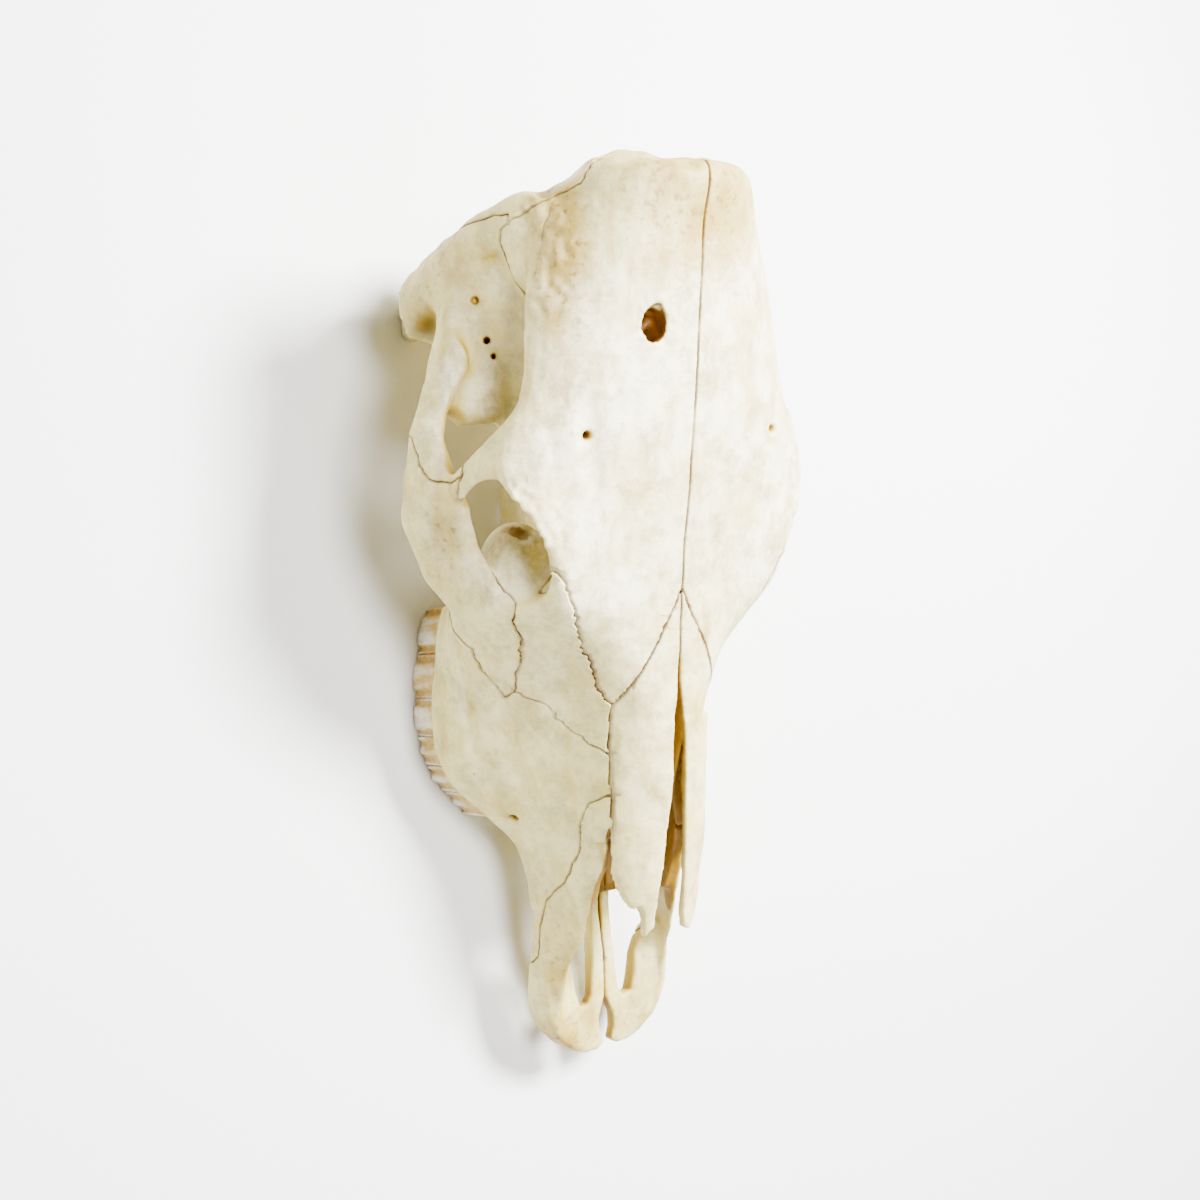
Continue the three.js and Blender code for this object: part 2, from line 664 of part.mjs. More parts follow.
// Oval hole along a direction
function hole(centre, radii, direction, depth) {
  const sides = 10;
  const n = new THREE.Vector3(...direction).normalize();
  const u = new THREE.Vector3(1, 0, 0).addScaledVector(n, -n.x).normalize();
  const v = new THREE.Vector3().crossVectors(n, u);
  const points = [];
  for (const along of [-depth, depth]) {
    for (let i = 0; i < sides; i++) {
      const angle = (2 * Math.PI * i) / sides;
      const p = new THREE.Vector3(...centre).addScaledVector(n, along);
      p.addScaledVector(u, radii[0] * Math.cos(angle)).addScaledVector(v, radii[1] * Math.sin(angle));
      points.push(p.toArray());
    }
  }
  const faces = [];
  for (let i = 0; i < sides; i++) {
    const j = (i + 1) % sides;
    faces.push([i, j, j + sides], [i, j + sides, i + sides]);
    if (i > 0 && i < sides - 1) {
      faces.push([0, j, i], [sides, i + sides, j + sides]);
    }
  }
  return solid({ points, faces });
}

// Cheek tooth with ridges down its outer face and a flat grinding face
function tooth({ y, length, width, outer, ridges }, side) {
  const rings = [[TOOTH_ROOT, 0.8], [GUM_LINE, 0.95], [GUM_LINE / 2, 1], [0, 0.95]];
  const middle = outer - width / 2;
  const round = (v) => Math.sign(v) * Math.abs(v) ** 0.65;
  const points = [];
  for (const [height, scale] of rings) {
    for (let i = 0; i < TOOTH_STEPS; i++) {
      const angle = (2 * Math.PI * (i + 0.5)) / TOOTH_STEPS;
      const along = round(Math.sin(angle));
      const across = round(Math.cos(angle));
      const ridge = across > 0 ? RIDGE_DEPTH * (Math.cos((ridges - 1) * Math.PI * (along + 1)) - 1) : 0;
      const x = middle + scale * ((across * width) / 2 + ridge);
      points.push([x, y + length / 2 + (scale * along * length) / 2, height]);
    }
  }
  const faces = [];
  for (let r = 0; r < rings.length - 1; r++) {
    for (let i = 0; i < TOOTH_STEPS; i++) {
      const j = (i + 1) % TOOTH_STEPS;
      const a = r * TOOTH_STEPS;
      const b = a + TOOTH_STEPS;
      faces.push([a + i, b + i, b + j], [a + i, b + j, a + j]);
    }
  }
  const bottom = (rings.length - 1) * TOOTH_STEPS;
  const ring = (from) => Array.from({ length: TOOTH_STEPS }, (v, i) => points[from + i].slice(0, 2));
  const cap = THREE.ShapeUtils.triangulateShape(ring(bottom).map((p) => new THREE.Vector2(...p)), []);
  const lid = THREE.ShapeUtils.triangulateShape(ring(0).map((p) => new THREE.Vector2(...p)), []);
  faces.push(...cap.map(([a, b, c]) => [bottom + c, bottom + b, bottom + a]), ...lid);
  if (side < 0) {
    points.forEach((p) => (p[0] *= -1));
    faces.forEach((face) => face.reverse());
  }
  return solid({ points, faces });
}

// Where each paired bone ends, seen from above as across, back and from the side as back, up
const BONES = [
  {
    name: "nasal",
    above: [
      [0, 60], [30, 60], [28.4, 122], [28.4, 143], [29.2, 157], [30.2, 178], [31, 189], [32, 202], [23, 216],
      [13, 233], [4, 249], [0, 258],
    ],
    side: [[60, 86], [110, 97], [145, 104], [203, 117], [260, 132], [260, 200], [60, 200]],
  },
  {
    name: "premaxilla",
    above: [[0, -20], [70, -20], [70, 155], [0, 155]],
    side: [
      [-20, -5], [56, -5], [58, 36], [62, 43], [80, 47], [95, 55], [106, 72], [124, 86], [141, 93], [150, 99],
      [154, 110], [154, 160], [-20, 160],
    ],
  },
  {
    name: "frontal",
    above: [
      [0, 258], [4, 249], [13, 233], [23, 216], [32, 202], [39, 213], [43, 223], [53, 238], [63, 255],
      [72, 270], [80, 280], [130, 290], [130, 345], [95, 352], [95, 480], [0, 480],
    ],
    side: [
      [195, 105], [240, 118], [262, 128], [300, 128], [312, 122], [325, 127], [340, 126], [355, 134],
      [406, 140], [434, 143], [441, 148], [453, 180], [480, 190], [480, 240], [195, 240],
    ],
  },
  {
    name: "zygomatic",
    above: [
      [58, 205], [64, 214], [69, 232], [74, 242], [80, 252], [80, 262], [84, 275], [92, 305], [95, 356],
      [130, 356], [130, 205],
    ],
    side: [
      [211, 81], [214, 88], [230, 103], [234, 110], [241, 116], [251, 119], [256, 124], [275, 128],
      [305, 126], [312, 140], [330, 140], [321, 120], [325, 107], [335, 101], [347, 97], [353, 88], [353, 60],
      [270, 60], [258, 70], [245, 80], [239, 84], [228, 80],
    ],
  },
  {
    name: "lacrimal",
    above: [[25, 170], [25, 225], [40, 262], [44, 275], [44, 312], [95, 312], [95, 170]],
    side: [
      [176, 122], [177, 115], [184, 107], [193, 101], [205, 98], [214, 88], [240, 86], [262, 80], [310, 80],
      [310, 130], [270, 157], [215, 157], [196, 140],
    ],
  },
  {
    name: "temporal",
    above: [
      [44, 336], [44, 378], [28, 380], [28, 420], [46, 424], [50, 445], [130, 449], [130, 316], [90, 316],
      [90, 336],
    ],
    side: [
      [316, 150], [316, 84], [352, 60], [378, 50], [380, 20], [415, 20], [417, 64], [438, 74], [444, 100],
      [449, 150],
    ],
  },
  {
    name: "maxilla",
    above: [[0, 50], [0, 236], [20, 240], [34, 250], [36, 268], [120, 268], [120, 50]],
    side: [[50, -20], [50, 200], [270, 200], [270, -20]],
  },
];
const BASE_BACK = 404;

// Largest closed body of a solid
function largest(body) {
  return body.decompose().sort((a, b) => b.volume() - a.volume())[0];
}

// Outline of a nasal bone with its outer edge moved as far as the left bone has sprung
function sprungOutline(outline) {
  return outline.map(([x, y]) => [x > 10 ? x + sprung(y) : x, y]);
}

// Part of the skull inside a bone's outlines, on one side
function region({ name, above, side }, hand, grow) {
  const outline = name === "nasal" && hand > 0 ? sprungOutline(above) : above;
  const plan = widened(outline, grow).map(([x, y]) => [hand * x, y]);
  return prism(plan, -60, 260, "above").intersect(prism(widened(side, grow), -140, 140, "side"));
}

const whole = largest(solid(simplified(clayed(skullClay()), BONE_FACES)));

// Forked tips of the nasal bones with the open slit between them, holes of the face, and the resting level
const FLOOR = [[-150, -40], [150, -40], [150, 500], [-150, 500]];
let rest = whole.subtract(prism(NASAL_TIPS, 96, 170, "above"));
rest = rest.subtract(prism(FLOOR, -40, 0, "above"));
rest = rest.subtract(hole([-25, 385, 192], [6.2, 8.8], [-0.1, -0.25, 1], 22));
for (const hand of [1, -1]) {
  rest = rest.subtract(hole([hand * 60, 334, 173], [2.6, 3.6], [hand * 0.2, -0.2, 1], 14));
  rest = rest.subtract(hole([hand * 57, 141, 55], [3.5, 4.5], [hand * 0.6, -0.8, 0], 9));
}

const nodes = new Map();
for (const bone of BONES) {
  for (const hand of [1, -1]) {
    const piece = largest(rest.intersect(region(bone, hand, -SUTURE / 2)));
    nodes.set(`${bone.name}_${hand > 0 ? "left" : "right"}`, piece);
  }
  for (const hand of [1, -1]) {
    rest = rest.subtract(region(bone, hand, SUTURE / 2));
  }
}
const BACK = [[-150, BASE_BACK], [150, BASE_BACK], [150, 500], [-150, 500]];
nodes.set("occipital", largest(rest.intersect(prism(BACK, -60, 260, "above"))));
nodes.set("skull_base", largest(rest.subtract(prism(widened(BACK, SUTURE), -60, 260, "above"))));

// Teeth grow from the upper jaw
for (const hand of [1, -1]) {
  const name = `maxilla_${hand > 0 ? "left" : "right"}`;
  const toothed = TEETH.reduce((jaw, size) => jaw.add(tooth(size, hand)), nodes.get(name));
  nodes.set(name, largest(toothed));
}

// Bones in the part's frame, centred over the middle of the length
const BONE_COLOUR = 0xece4d0;
const box = new THREE.Box3();
const meshes = [...nodes].map(([name, body]) => {
  const { vertProperties, triVerts } = body.getMesh();
  const geometry = new THREE.BufferGeometry();
  geometry.setAttribute("position", new THREE.BufferAttribute(new Float32Array(vertProperties), 3));
  geometry.setIndex([...triVerts]);
  geometry.computeBoundingBox();
  box.union(geometry.boundingBox);
  const material = new THREE.MeshStandardMaterial({ color: BONE_COLOUR, roughness: 0.7 });
  const mesh = new THREE.Mesh(geometry, material);
  mesh.name = name;
  return mesh;
});
const middle = (box.min.y + box.max.y) / 2;
const group = new THREE.Group();
group.name = "cow_skull";
for (const mesh of meshes) {
  mesh.geometry.translate(0, -middle, 0);
  mesh.geometry.computeVertexNormals();
  group.add(mesh);
}

export default group;
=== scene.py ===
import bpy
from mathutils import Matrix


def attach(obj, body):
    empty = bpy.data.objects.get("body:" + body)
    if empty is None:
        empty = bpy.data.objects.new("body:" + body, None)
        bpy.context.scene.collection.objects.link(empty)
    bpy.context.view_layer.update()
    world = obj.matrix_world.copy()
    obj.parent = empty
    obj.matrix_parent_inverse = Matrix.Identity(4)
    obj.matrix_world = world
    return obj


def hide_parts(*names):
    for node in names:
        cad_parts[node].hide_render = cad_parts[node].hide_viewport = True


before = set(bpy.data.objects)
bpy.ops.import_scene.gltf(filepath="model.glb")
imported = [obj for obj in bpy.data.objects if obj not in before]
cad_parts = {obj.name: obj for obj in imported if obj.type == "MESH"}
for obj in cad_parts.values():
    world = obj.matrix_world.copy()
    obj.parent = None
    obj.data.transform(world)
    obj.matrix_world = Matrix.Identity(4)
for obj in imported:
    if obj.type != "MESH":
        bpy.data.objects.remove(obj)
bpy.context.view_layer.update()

import bpy
import numpy as np
from mathutils import Matrix, Vector

MM = 0.001

# Skull's own measure, in mm: x to the animal's left, y back from the front of the jaw, z up from the teeth
GRID = 1.05
FIELD_LOW = np.array([-126.0, -12.0, -12.0])
FIELD_HIGH = np.array([126.0, 486.0, 225.0])
FAR = 60.0
PAIR, SINGLE = (1, -1), (1,)

# Origin of the frame, in the skull's own measure
FRAME_ORIGIN = np.array([0.0, 234.59, 0.0])

# Scale of the distances round a thinned bar, for each share of its thickness
THIN_SCALE = 1.6

# Filling of solid corners that only touch, in grid steps, and the passes over them
CORNER_FILL, MEND_PASSES = 0.02, 6

# Half-sections, front to back: y, then roof, shoulder, roof edge, hollow, cheek, widest, lower edge, palate
SECTIONS = [
    [84, 0, 111, 14, 107, 25, 94, 29, 84, 34, 70, 39, 55, 39.5, 40, 0, 48],
    [100, 0, 116, 15, 112, 26, 98, 30, 88, 36, 76, 40.5, 58, 40, 38, 0, 47],
    [122, 0, 122, 16, 118.5, 28.5, 104, 32, 94, 37, 82, 43, 62, 43, 36, 0, 46],
    [145, 0, 127.5, 16.5, 124, 29, 110, 36, 97, 44, 82, 57, 56, 59, 34, 0, 45],
    [165, 0, 133, 17, 129.5, 30, 115, 39, 98, 51, 79, 74, 47, 72, 29, 0, 44],
    [189, 0, 139, 17.5, 135.5, 31, 122, 43, 103, 58, 81, 83, 44, 77, 28, 0, 43],
    [216, 0, 145, 20, 143, 35, 133, 49, 113, 65, 91, 86, 52, 75, 28, 0, 42],
    [230, 0, 149, 23, 146.5, 42, 138, 59, 118, 73, 96, 87, 60, 72, 28, 0, 42],
    [240, 0, 151, 26, 149, 51, 142, 66, 124, 78, 102, 89, 68, 71, 28, 0, 42],
    [260, 0, 156, 38, 155, 67, 151.5, 76, 139, 83, 122, 91, 84, 66, 30, 0, 44],
    [280, 0, 162, 44, 160, 77, 156.5, 74, 138, 54, 118, 46, 95, 40, 58, 0, 60],
    [300, 0, 168.5, 50, 164.5, 89, 155.5, 80, 134, 48, 118, 40, 98, 32, 66, 0, 66],
    [325, 0, 176, 58, 171, 95, 150, 78, 136, 50, 118, 44, 98, 32, 68, 0, 66],
    [340, 0, 181, 58, 175, 90, 149, 68, 138, 56, 118, 52, 98, 36, 68, 0, 65],
    [355, 0, 185, 52, 179, 83, 153, 62, 137, 62, 119, 62, 100, 42, 68, 0, 64],
    [374, 0, 190, 48, 183, 78.5, 157, 60, 139, 67, 121, 73, 101, 50, 68, 0, 63],
    [406, 0, 199, 43, 190, 74.5, 161, 61, 144, 73, 124, 85, 98, 62, 65, 0, 60],
    [433, 0, 206, 38, 197, 66, 167, 62, 149, 78, 126, 92, 94, 74, 62, 0, 58],
    [449, 0, 213, 34, 203, 58.5, 172, 63, 153, 82, 134, 95, 98, 78, 62, 0, 57],
    [470, 0, 216, 30, 207, 48, 180, 63, 160, 86, 141, 98, 104, 80, 62, 0, 56],
]
ROOF_UP, EDGE_ACROSS, EDGE_UP = 1, 4, 5
LOFT_FRONT, LOFT_BACK = 90.0, 470.0
CURVE_STEPS = 6

# Notch of the nose: its foot and how it leans back above it
NOTCH_FRONT, NOTCH_FOOT, NOTCH_LEAN, NOTCH_SCALE = 80, 71, 1.6, 0.53

# Back of the head: its rearmost place, and how it falls away below, to the sides and above
NAPE_BACK, NAPE_LOW, NAPE_HIGH, NAPE_SCALE = 467.5, 130, 165, 0.95
NAPE_FALL_BELOW, NAPE_FALL_ASIDE, NAPE_FALL_ABOVE = 0.25, 0.0036, 0.0042

# Rounded forms of the poll and its crest: centre and radii
POLL_BUMP = [27, 457, 177], [19, 13, 17]
CREST_FILL = [64, 434, 146], [11, 22, 12]
LEFT_POLL_CUT = [62, 462, 190], [17, 22, 24]
POLL_DIP = [-9, 466, 215], [8, 12, 8]

# Cheek arch, eye socket and braincase: outlines seen from above, bars as rows of x, y, z and radius
ARCH_ROOT_SHELF = [[46, 354], [86, 352], [98, 362], [97, 384], [93, 404], [88, 424], [46, 424]]
SHELF_HEIGHT, SHELF_FRONT, SHELF_RISE, SHELF_HALF = 101, 354, 0.05, 7
SHELF_EDGE, SHELF_CURL, SHELF_SPAN = 84, 0.004, [70, 125]
CHEEK_ARCH = [
    [66, 236, 98, 7], [80, 250, 106, 11.5], [91, 267, 101, 16], [99, 285, 96, 18], [105, 306, 98, 20],
    [107, 322, 100, 16], [107, 346, 101, 10], [100, 368, 104, 8.5], [90, 384, 106, 9],
]
BEHIND_EYE = [
    [74, 336, 153, 18], [86, 331, 148, 14], [95, 325, 138, 11], [103, 318, 124, 8], [107, 314, 106, 9],
]
EYE_SOCKET = [[120, 276, 137, 33], [86, 290, 134, 32.5], [45, 312, 121, 15]]
CHEEK_DISH = [[117, 303, 112, 10], [113, 287, 108, 10]]
FACE_DISH = [[93, 231, 91, 8], [95, 245, 93, 7]]
SOCKET_CREASE = [[78, 186, 58, 4.0], [84, 216, 64, 4.5], [91, 240, 75, 4.5]]
TEMPORAL_CREST = [[66, 446, 158, 6], [79, 442, 133, 9], [87, 431, 104, 11], [90, 422, 76, 11]]
CONDYLE_PROCESS = [[64, 430, 64, 20], [61, 428, 38, 15], [55, 424, 7, 10]]
GREAT_FORAMEN = [[0, 480, 84, 18], [0, 415, 88, 16]]
EAR_TUBE = [[64, 408, 74, 13], [84, 411, 66, 8]]
EAR_HOLE = [[96, 412, 64, 4.5], [76, 410, 69, 3.5]]
BRAINCASE_FLOOR = [[0, 438, 66, 17], [0, 330, 70, 15]]
THROAT_PLATE = [[23, 262, 44, 18], [21, 292, 42, 22], [22, 318, 34, 12]]
THROAT_ROOT = [[22, 300, 60, 16], [24, 330, 66, 12]]

# Rounded forms of the eye socket and the base: centre and radii
TEAR_BULLA = [63, 274, 102], [21, 27, 20]
LEFT_EYE_NOTCH = [84, 264, 146], [10, 9, 12]
CONDYLE = [26, 450, 76], [16, 17, 27]
CONDYLE_AXES = [[0.92, -0.2, 0.34], [0.2, 0.98, 0.04], [-0.34, 0.03, 0.94]]
EAR_BULLA = [41, 398, 50], [9, 16, 22]

# Muzzle: front jaw bones with the strips that run back between the slits of the palate, and the nose
FRONT_JAW = [
    [2, 2], [7, -1.5], [14, -1], [23, 3], [31, 11], [36, 19], [40, 30], [41, 46], [40, 64], [36, 66],
    [29, 60], [22, 48], [21, 36], [18, 27], [13, 27], [10, 31], [7.5, 54], [7, 90], [6, 140], [0.4, 140],
    [0.4, 28], [2, 23], [4.5, 17], [4.5, 9],
]
JAW_HEIGHT, JAW_RISE, JAW_RISE_END, JAW_HALF = 33.5, 0.1, 120, 4.5
JAW_CURL_FROM, JAW_CURL, JAW_SPAN = 14, 0.003, [15, 56]
NASAL_PROCESS = [
    [39, 28, 32, 7], [39.5, 40, 38, 10], [38.5, 55, 46, 13], [37, 73, 53, 16], [35, 95, 63, 17],
    [33.5, 120, 76, 17],
]
JAW_BODY = [[18, 8, 32, 5], [28, 17, 33, 8], [33, 32, 35, 9.5], [34, 50, 41, 9], [35, 62, 47, 6]]
NASAL_PASSAGE = [[0, 60, 74, 25], [0, 120, 84, 26], [0, 190, 92, 24], [0, 240, 100, 14]]

# Nasal bones: the left one has sprung outward at its front, which opens the slit between them
NASAL_HALF, NASAL_FRONT, NASAL_ROOT, NASAL_BACK = 2.4, 84.0, 254.0, 260
NASAL_DROOP, NASAL_FALL, NASAL_FALL_MOST, NASAL_FALL_POWER = 0.28, 0.92, 1.6, 2.2
LEFT_SPRUNG, SPRUNG_FROM = 8.0, 10
SNOUT = [
    [-21, 70], [28, 70], [33, 92], [34.5, 122], [34, 140], [31, 190], [-29, 190], [-29, 140], [-29, 122],
    [-26, 92],
]
NASAL_TIPS = [
    [46, 50], [46, 121], [35, 124], [32, 109], [27, 92], [21, 79], [15.5, 73], [11.5, 75], [10, 84],
    [9.5, 95], [8.8, 118], [7.4, 157], [5.2, 184], [1.4, 211], [0, 254], [-0.5, 211], [-1.2, 184],
    [-1.8, 140], [-4.5, 115], [-7, 92], [-8.5, 79], [-13, 74.5], [-13.5, 88], [-15.5, 92], [-18, 91],
    [-21, 96], [-24, 104], [-26.5, 113], [-28, 128], [-40, 128], [-40, 50],
]
SNOUT_SPAN = [80, 146]
TIPS_MIDDLE, TIPS_HALF, TIPS_SPAN = 133, 37, [96, 170]

# Holes of the skull and the ragged one in the forehead; the rows of the temple holes end with a depth
BOLT_HOLE = [[-25, 381, 166, 6], [-25.5, 386, 198, 8.6]]
BOLT_FLECK = [[-19, 390, 180, 2.6], [-26, 383, 176, 2.0]]
BOLT_RIM = [-25, 386, 190], [13, 15, 12]
BROW_HOLE = [[57, 337, 164, 1.2], [60.5, 333, 176, 1.8]]
BROW_GROOVE = [[61, 352, 182.5, 6], [59, 331, 177.5, 6], [54, 296, 168.5, 5]]
FACE_HOLE = [[49, 151, 54, 3.0], [62, 134, 55, 4.6]]
TEMPLE_HOLES = [[79, 412, 117, 2.7, 1.0], [75, 392, 117, 1.6, 10.0], [72, 384, 117, 1.0, 7.0]]
TEMPLE_MOUTH_OUT, TEMPLE_MOUTH_UP, TEMPLE_LEAN = 6, 8, 0.7
TEMPLE_FLARE, TEMPLE_TAPER = 1.15, 0.8
TEAR_HOLE = [[70, 296, 122, 4.8], [66.5, 294.5, 112, 4.2]]
PALATE_HOLE = [[17, 222, 36, 3.0], [17, 226, 48, 2.5]]

# Rough places on both sides, and on the midline: place, reach along each axis, grain, depth, seed
ROUGH_PAIRS = [
    ([82, 292, 154], [26, 32, 10], 3.0, 0.8, 41),
    ([66, 289, 114], [18, 14, 12], 4.0, 2.0, 42),
    ([66, 425, 165], [16, 40, 16], 4.0, 0.8, 43),
    ([88, 432, 105], [18, 28, 45], 6.0, 0.7, 44),
    ([80, 190, 46], [16, 26, 18], 7.0, 0.8, 45),
]
ROUGH_MIDDLE = [
    ([0, 462, 150], [75, 26, 70], 9.0, 1.4, 46),
    ([0, 240, 110], [140, 300, 160], 26.0, 0.7, 47),
    ([0, 240, 110], [140, 300, 160], 8.0, 0.26, 48),
    ([0, 240, 110], [140, 300, 160], 3.6, 0.14, 49),
]
ROUGH_BAND, ROUGH_FADE = 4, 2.5

# Cheek teeth, front to back: start, length, width, outer face, ridges down the outer face
TEETH = [
    (142, 15, 14, 62.5, 3),
    (157.5, 16, 16, 74.5, 3),
    (174, 16.5, 18, 80, 3),
    (191, 21, 21, 81, 5),
    (212.5, 24, 22, 78.5, 5),
    (237, 25, 21, 71.5, 5),
]
TOOTH_ROW_ENDS = [[142, 57], [262, 66]]
TOOTH_ROOT, GUM_LINE, RIDGE_DEPTH = 44.0, 30.0, 1.0
TOOTH_STEPS, TOOTH_RINGS, CROWN_RINGS = 112, 30, 22
TOOTH_TAPER = [0, GUM_LINE / 2, GUM_LINE, TOOTH_ROOT], [1.0, 1.0, 0.95, 0.8]
TAPER_KEPT, TAPER_TAKEN, TOOTH_OVERLAP = 0.4, 0.6, 0.2
CORNER_POWER, RIDGE_POWER, INNER_RIDGE = 0.25, 0.7, 0.5
RIPPLE_DEPTH, RIPPLE_UP, RIPPLE_ALONG = 0.3, 0.9, 4
GROOVE_SHARE, GROOVE_UP = -0.2, ([0, 10, GUM_LINE], [0.0, 0.05, 0.3])

# Grinding face: its rim, the dip of its worn middle, and the crescents of enamel, as shares of the width
CROWN_RIM, CROWN_DIP = 1.0, 1.8
CRESCENT_BOW, CRESCENT_AT, CRESCENT_WIDE = 0.35, 0.34, 0.11
RIM_AT, RIM_WIDE = 0.94, 0.06

# Bones in the order they are parted: outline seen from above, from the side, and how far the suture wavers
SUTURE_GAP, SUTURE_SEED, SEAM_BAND = 0.3, 11, 3
WAVER_STEP, SWAY_KEPT, ZIGZAG, ON_MIDLINE = 2.2, 0.55, 0.7, 0.1
BONES = [
    ("nasal",
     [[0, 60], [30, 60], [28.4, 122], [28.4, 143], [29.2, 157], [30.2, 178], [31, 189], [32, 202], [23, 216],
      [13, 233], [4, 249], [0, 258]],
     [[60, 86], [110, 97], [145, 104], [203, 117], [260, 132], [260, 200], [60, 200]], 0.3),
    ("premaxilla",
     [[0, -20], [70, -20], [70, 155], [0, 155]],
     [[-20, -5], [56, -5], [58, 36], [62, 43], [80, 47], [95, 55], [106, 72], [124, 86], [141, 93],
      [150, 99], [154, 110], [154, 160], [-20, 160]], 0.35),
    ("frontal",
     [[0, 258], [4, 249], [13, 233], [23, 216], [32, 202], [39, 213], [43, 223], [53, 238], [63, 255],
      [72, 270], [80, 280], [130, 290], [130, 345], [95, 352], [95, 480], [0, 480]],
     [[195, 105], [240, 118], [262, 128], [300, 128], [312, 122], [325, 127], [340, 126], [355, 134],
      [406, 140], [434, 143], [441, 148], [453, 180], [480, 190], [480, 240], [195, 240]], 0.7),
    ("zygomatic",
     [[58, 205], [64, 214], [69, 232], [74, 242], [80, 252], [80, 262], [84, 275], [92, 305], [95, 356],
      [130, 356], [130, 205]],
     [[211, 81], [214, 88], [230, 103], [234, 110], [241, 116], [251, 119], [256, 124], [275, 128],
      [305, 126], [312, 140], [330, 140], [321, 120], [325, 107], [335, 101], [347, 97], [353, 88],
      [353, 60], [270, 60], [258, 70], [245, 80], [239, 84], [228, 80]], 0.5),
    ("lacrimal",
     [[25, 170], [25, 225], [40, 262], [44, 275], [44, 312], [95, 312], [95, 170]],
     [[176, 122], [177, 115], [184, 107], [193, 101], [205, 98], [214, 88], [240, 86], [262, 80], [310, 80],
      [310, 130], [270, 157], [215, 157], [196, 140]], 0.8),
    ("temporal",
     [[44, 336], [44, 378], [28, 380], [28, 420], [46, 424], [50, 445], [130, 449], [130, 316], [90, 316],
      [90, 336]],
     [[316, 150], [316, 84], [352, 60], [378, 50], [380, 20], [415, 20], [417, 64], [438, 74], [444, 100],
      [449, 150]], 0.6),
    ("maxilla",
     [[0, 50], [0, 236], [20, 240], [34, 250], [36, 268], [120, 268], [120, 50]],
     [[50, -20], [50, 200], [270, 200], [270, -20]], 0.4),
]
BASE_BACK = 404.0

# Strip of the front jaw bone between the slits of the palate, seen from above and from the side
PALATE_STRIP = [[0, 20], [9, 20], [9, 98], [0, 98]], [[20, 24], [98, 24], [98, 50], [20, 48]]

# Sutures and cracks inside a bone, as rows of places on its surface, and how they waver
LINE_REACH, LINE_WOBBLE, LINE_GRAIN, LINE_SEED = 6, 0.8, 3.0, 61
SURFACE_LINES = [
    [[-60, 449, 170], [-64, 441, 168], [-66, 436, 166], [-67, 430, 166], [-69, 425, 165], [-73, 409, 162]],
    [[-32, 203, 125], [-36, 201, 122], [-40, 199, 117]],
    [[-4, 247, 153], [-9, 244, 152], [-13, 245, 152]],
    [[-53, 238, 137], [-57, 236, 135], [-58, 230, 129]],
    [[60, 449, 170], [66, 436, 166], [69, 425, 165], [73, 409, 162]],
]

# Stained patches: place, reach along each axis, strength
STAINS = [
    ([-8, 440, 205], [36, 34, 26], 0.75),
    ([22, 446, 204], [24, 26, 22], 0.6),
    ([-60, 430, 168], [11, 44, 18], 1.0),
    ([-66, 400, 165], [8, 30, 14], 0.8),
    ([-107, 297, 108], [7, 17, 9], 1.0),
    ([-31, 13, 33], [13, 17, 13], 1.0),
    ([-90, 430, 96], [18, 26, 34], 0.55),
    ([90, 430, 96], [18, 26, 34], 0.55),
    ([0, 462, 130], [60, 18, 60], 0.6),
    ([-37, 66, 52], [9, 52, 18], 0.5),
    ([-20, 16, 38], [22, 18, 8], 0.4),
    ([20, 16, 38], [22, 18, 8], 0.4),
    ([-106, 286, 98], [9, 36, 14], 0.45),
]

# Deep places given dark olive painted shade, on both sides: place, reach along each axis, strength
SHADE_HOLLOWS = [
    ([62, 338, 84], [20, 20, 20], 1.0),
    ([66, 314, 128], [24, 16, 24], 1.0),
    ([88, 410, 70], [12, 16, 16], 0.8),
    ([20, 400, 40], [40, 30, 20], 0.5),
    ([14, 312, 45], [30, 46, 30], 1.0),
]
PATCH_EDGE = 1.5
# Tear swelling taken out of the painted shade and given painted light: place and reach, then its lift of
# openness and its lift out of the hollow shade
TEAR_SWELLING = ([66, 275, 108], [19, 22, 16])
SWELLING_LIFT, SWELLING_UNSHADE = 2, 1.5

# Inside of the forehead's hole and of the tear hole, where painted shade goes: place, reach, and how open
# the shaded places still are
BOLT_INSIDE, BOLT_OPEN, BOLT_SOFT = ([-25.5, 385, 184], [11, 13, 14]), 0.82, 0.2
TEAR_INSIDE, TEAR_OPEN, TEAR_SOFT = ([67, 295, 111], [4.5, 4.5, 5]), 0.7, 0.2

# Inside of the nose, which gets painted shade: half width, reach along the skull, floor, and depth below the
# roof
NOSE_HALF, NOSE_FRONT, NOSE_BACK, NOSE_FLOOR, NOSE_ROOF = 30, 66, 262, 48, 1.2

# Painted light on faces that look up: how far they look up, and its share from the front of the jaw to the
# poll
TOP_LIGHT_LOW, TOP_LIGHT_SOFT = 0.25, 0.6
TOP_LIGHT_ALONG = [0, 130, 230, 270, 400, 445], [0.1, 0.45, 0.75, 1.0, 1.0, 0.6]
OPEN_REACHES = 4, 9, 18, 32


# Blend of two distances over a width
def smooth_min(a, b, width):
    if width <= 0:
        return np.minimum(a, b)
    h = np.clip(0.5 + 0.5 * (b - a) / width, 0, 1)
    return b + (a - b) * h - width * h * (1 - h)


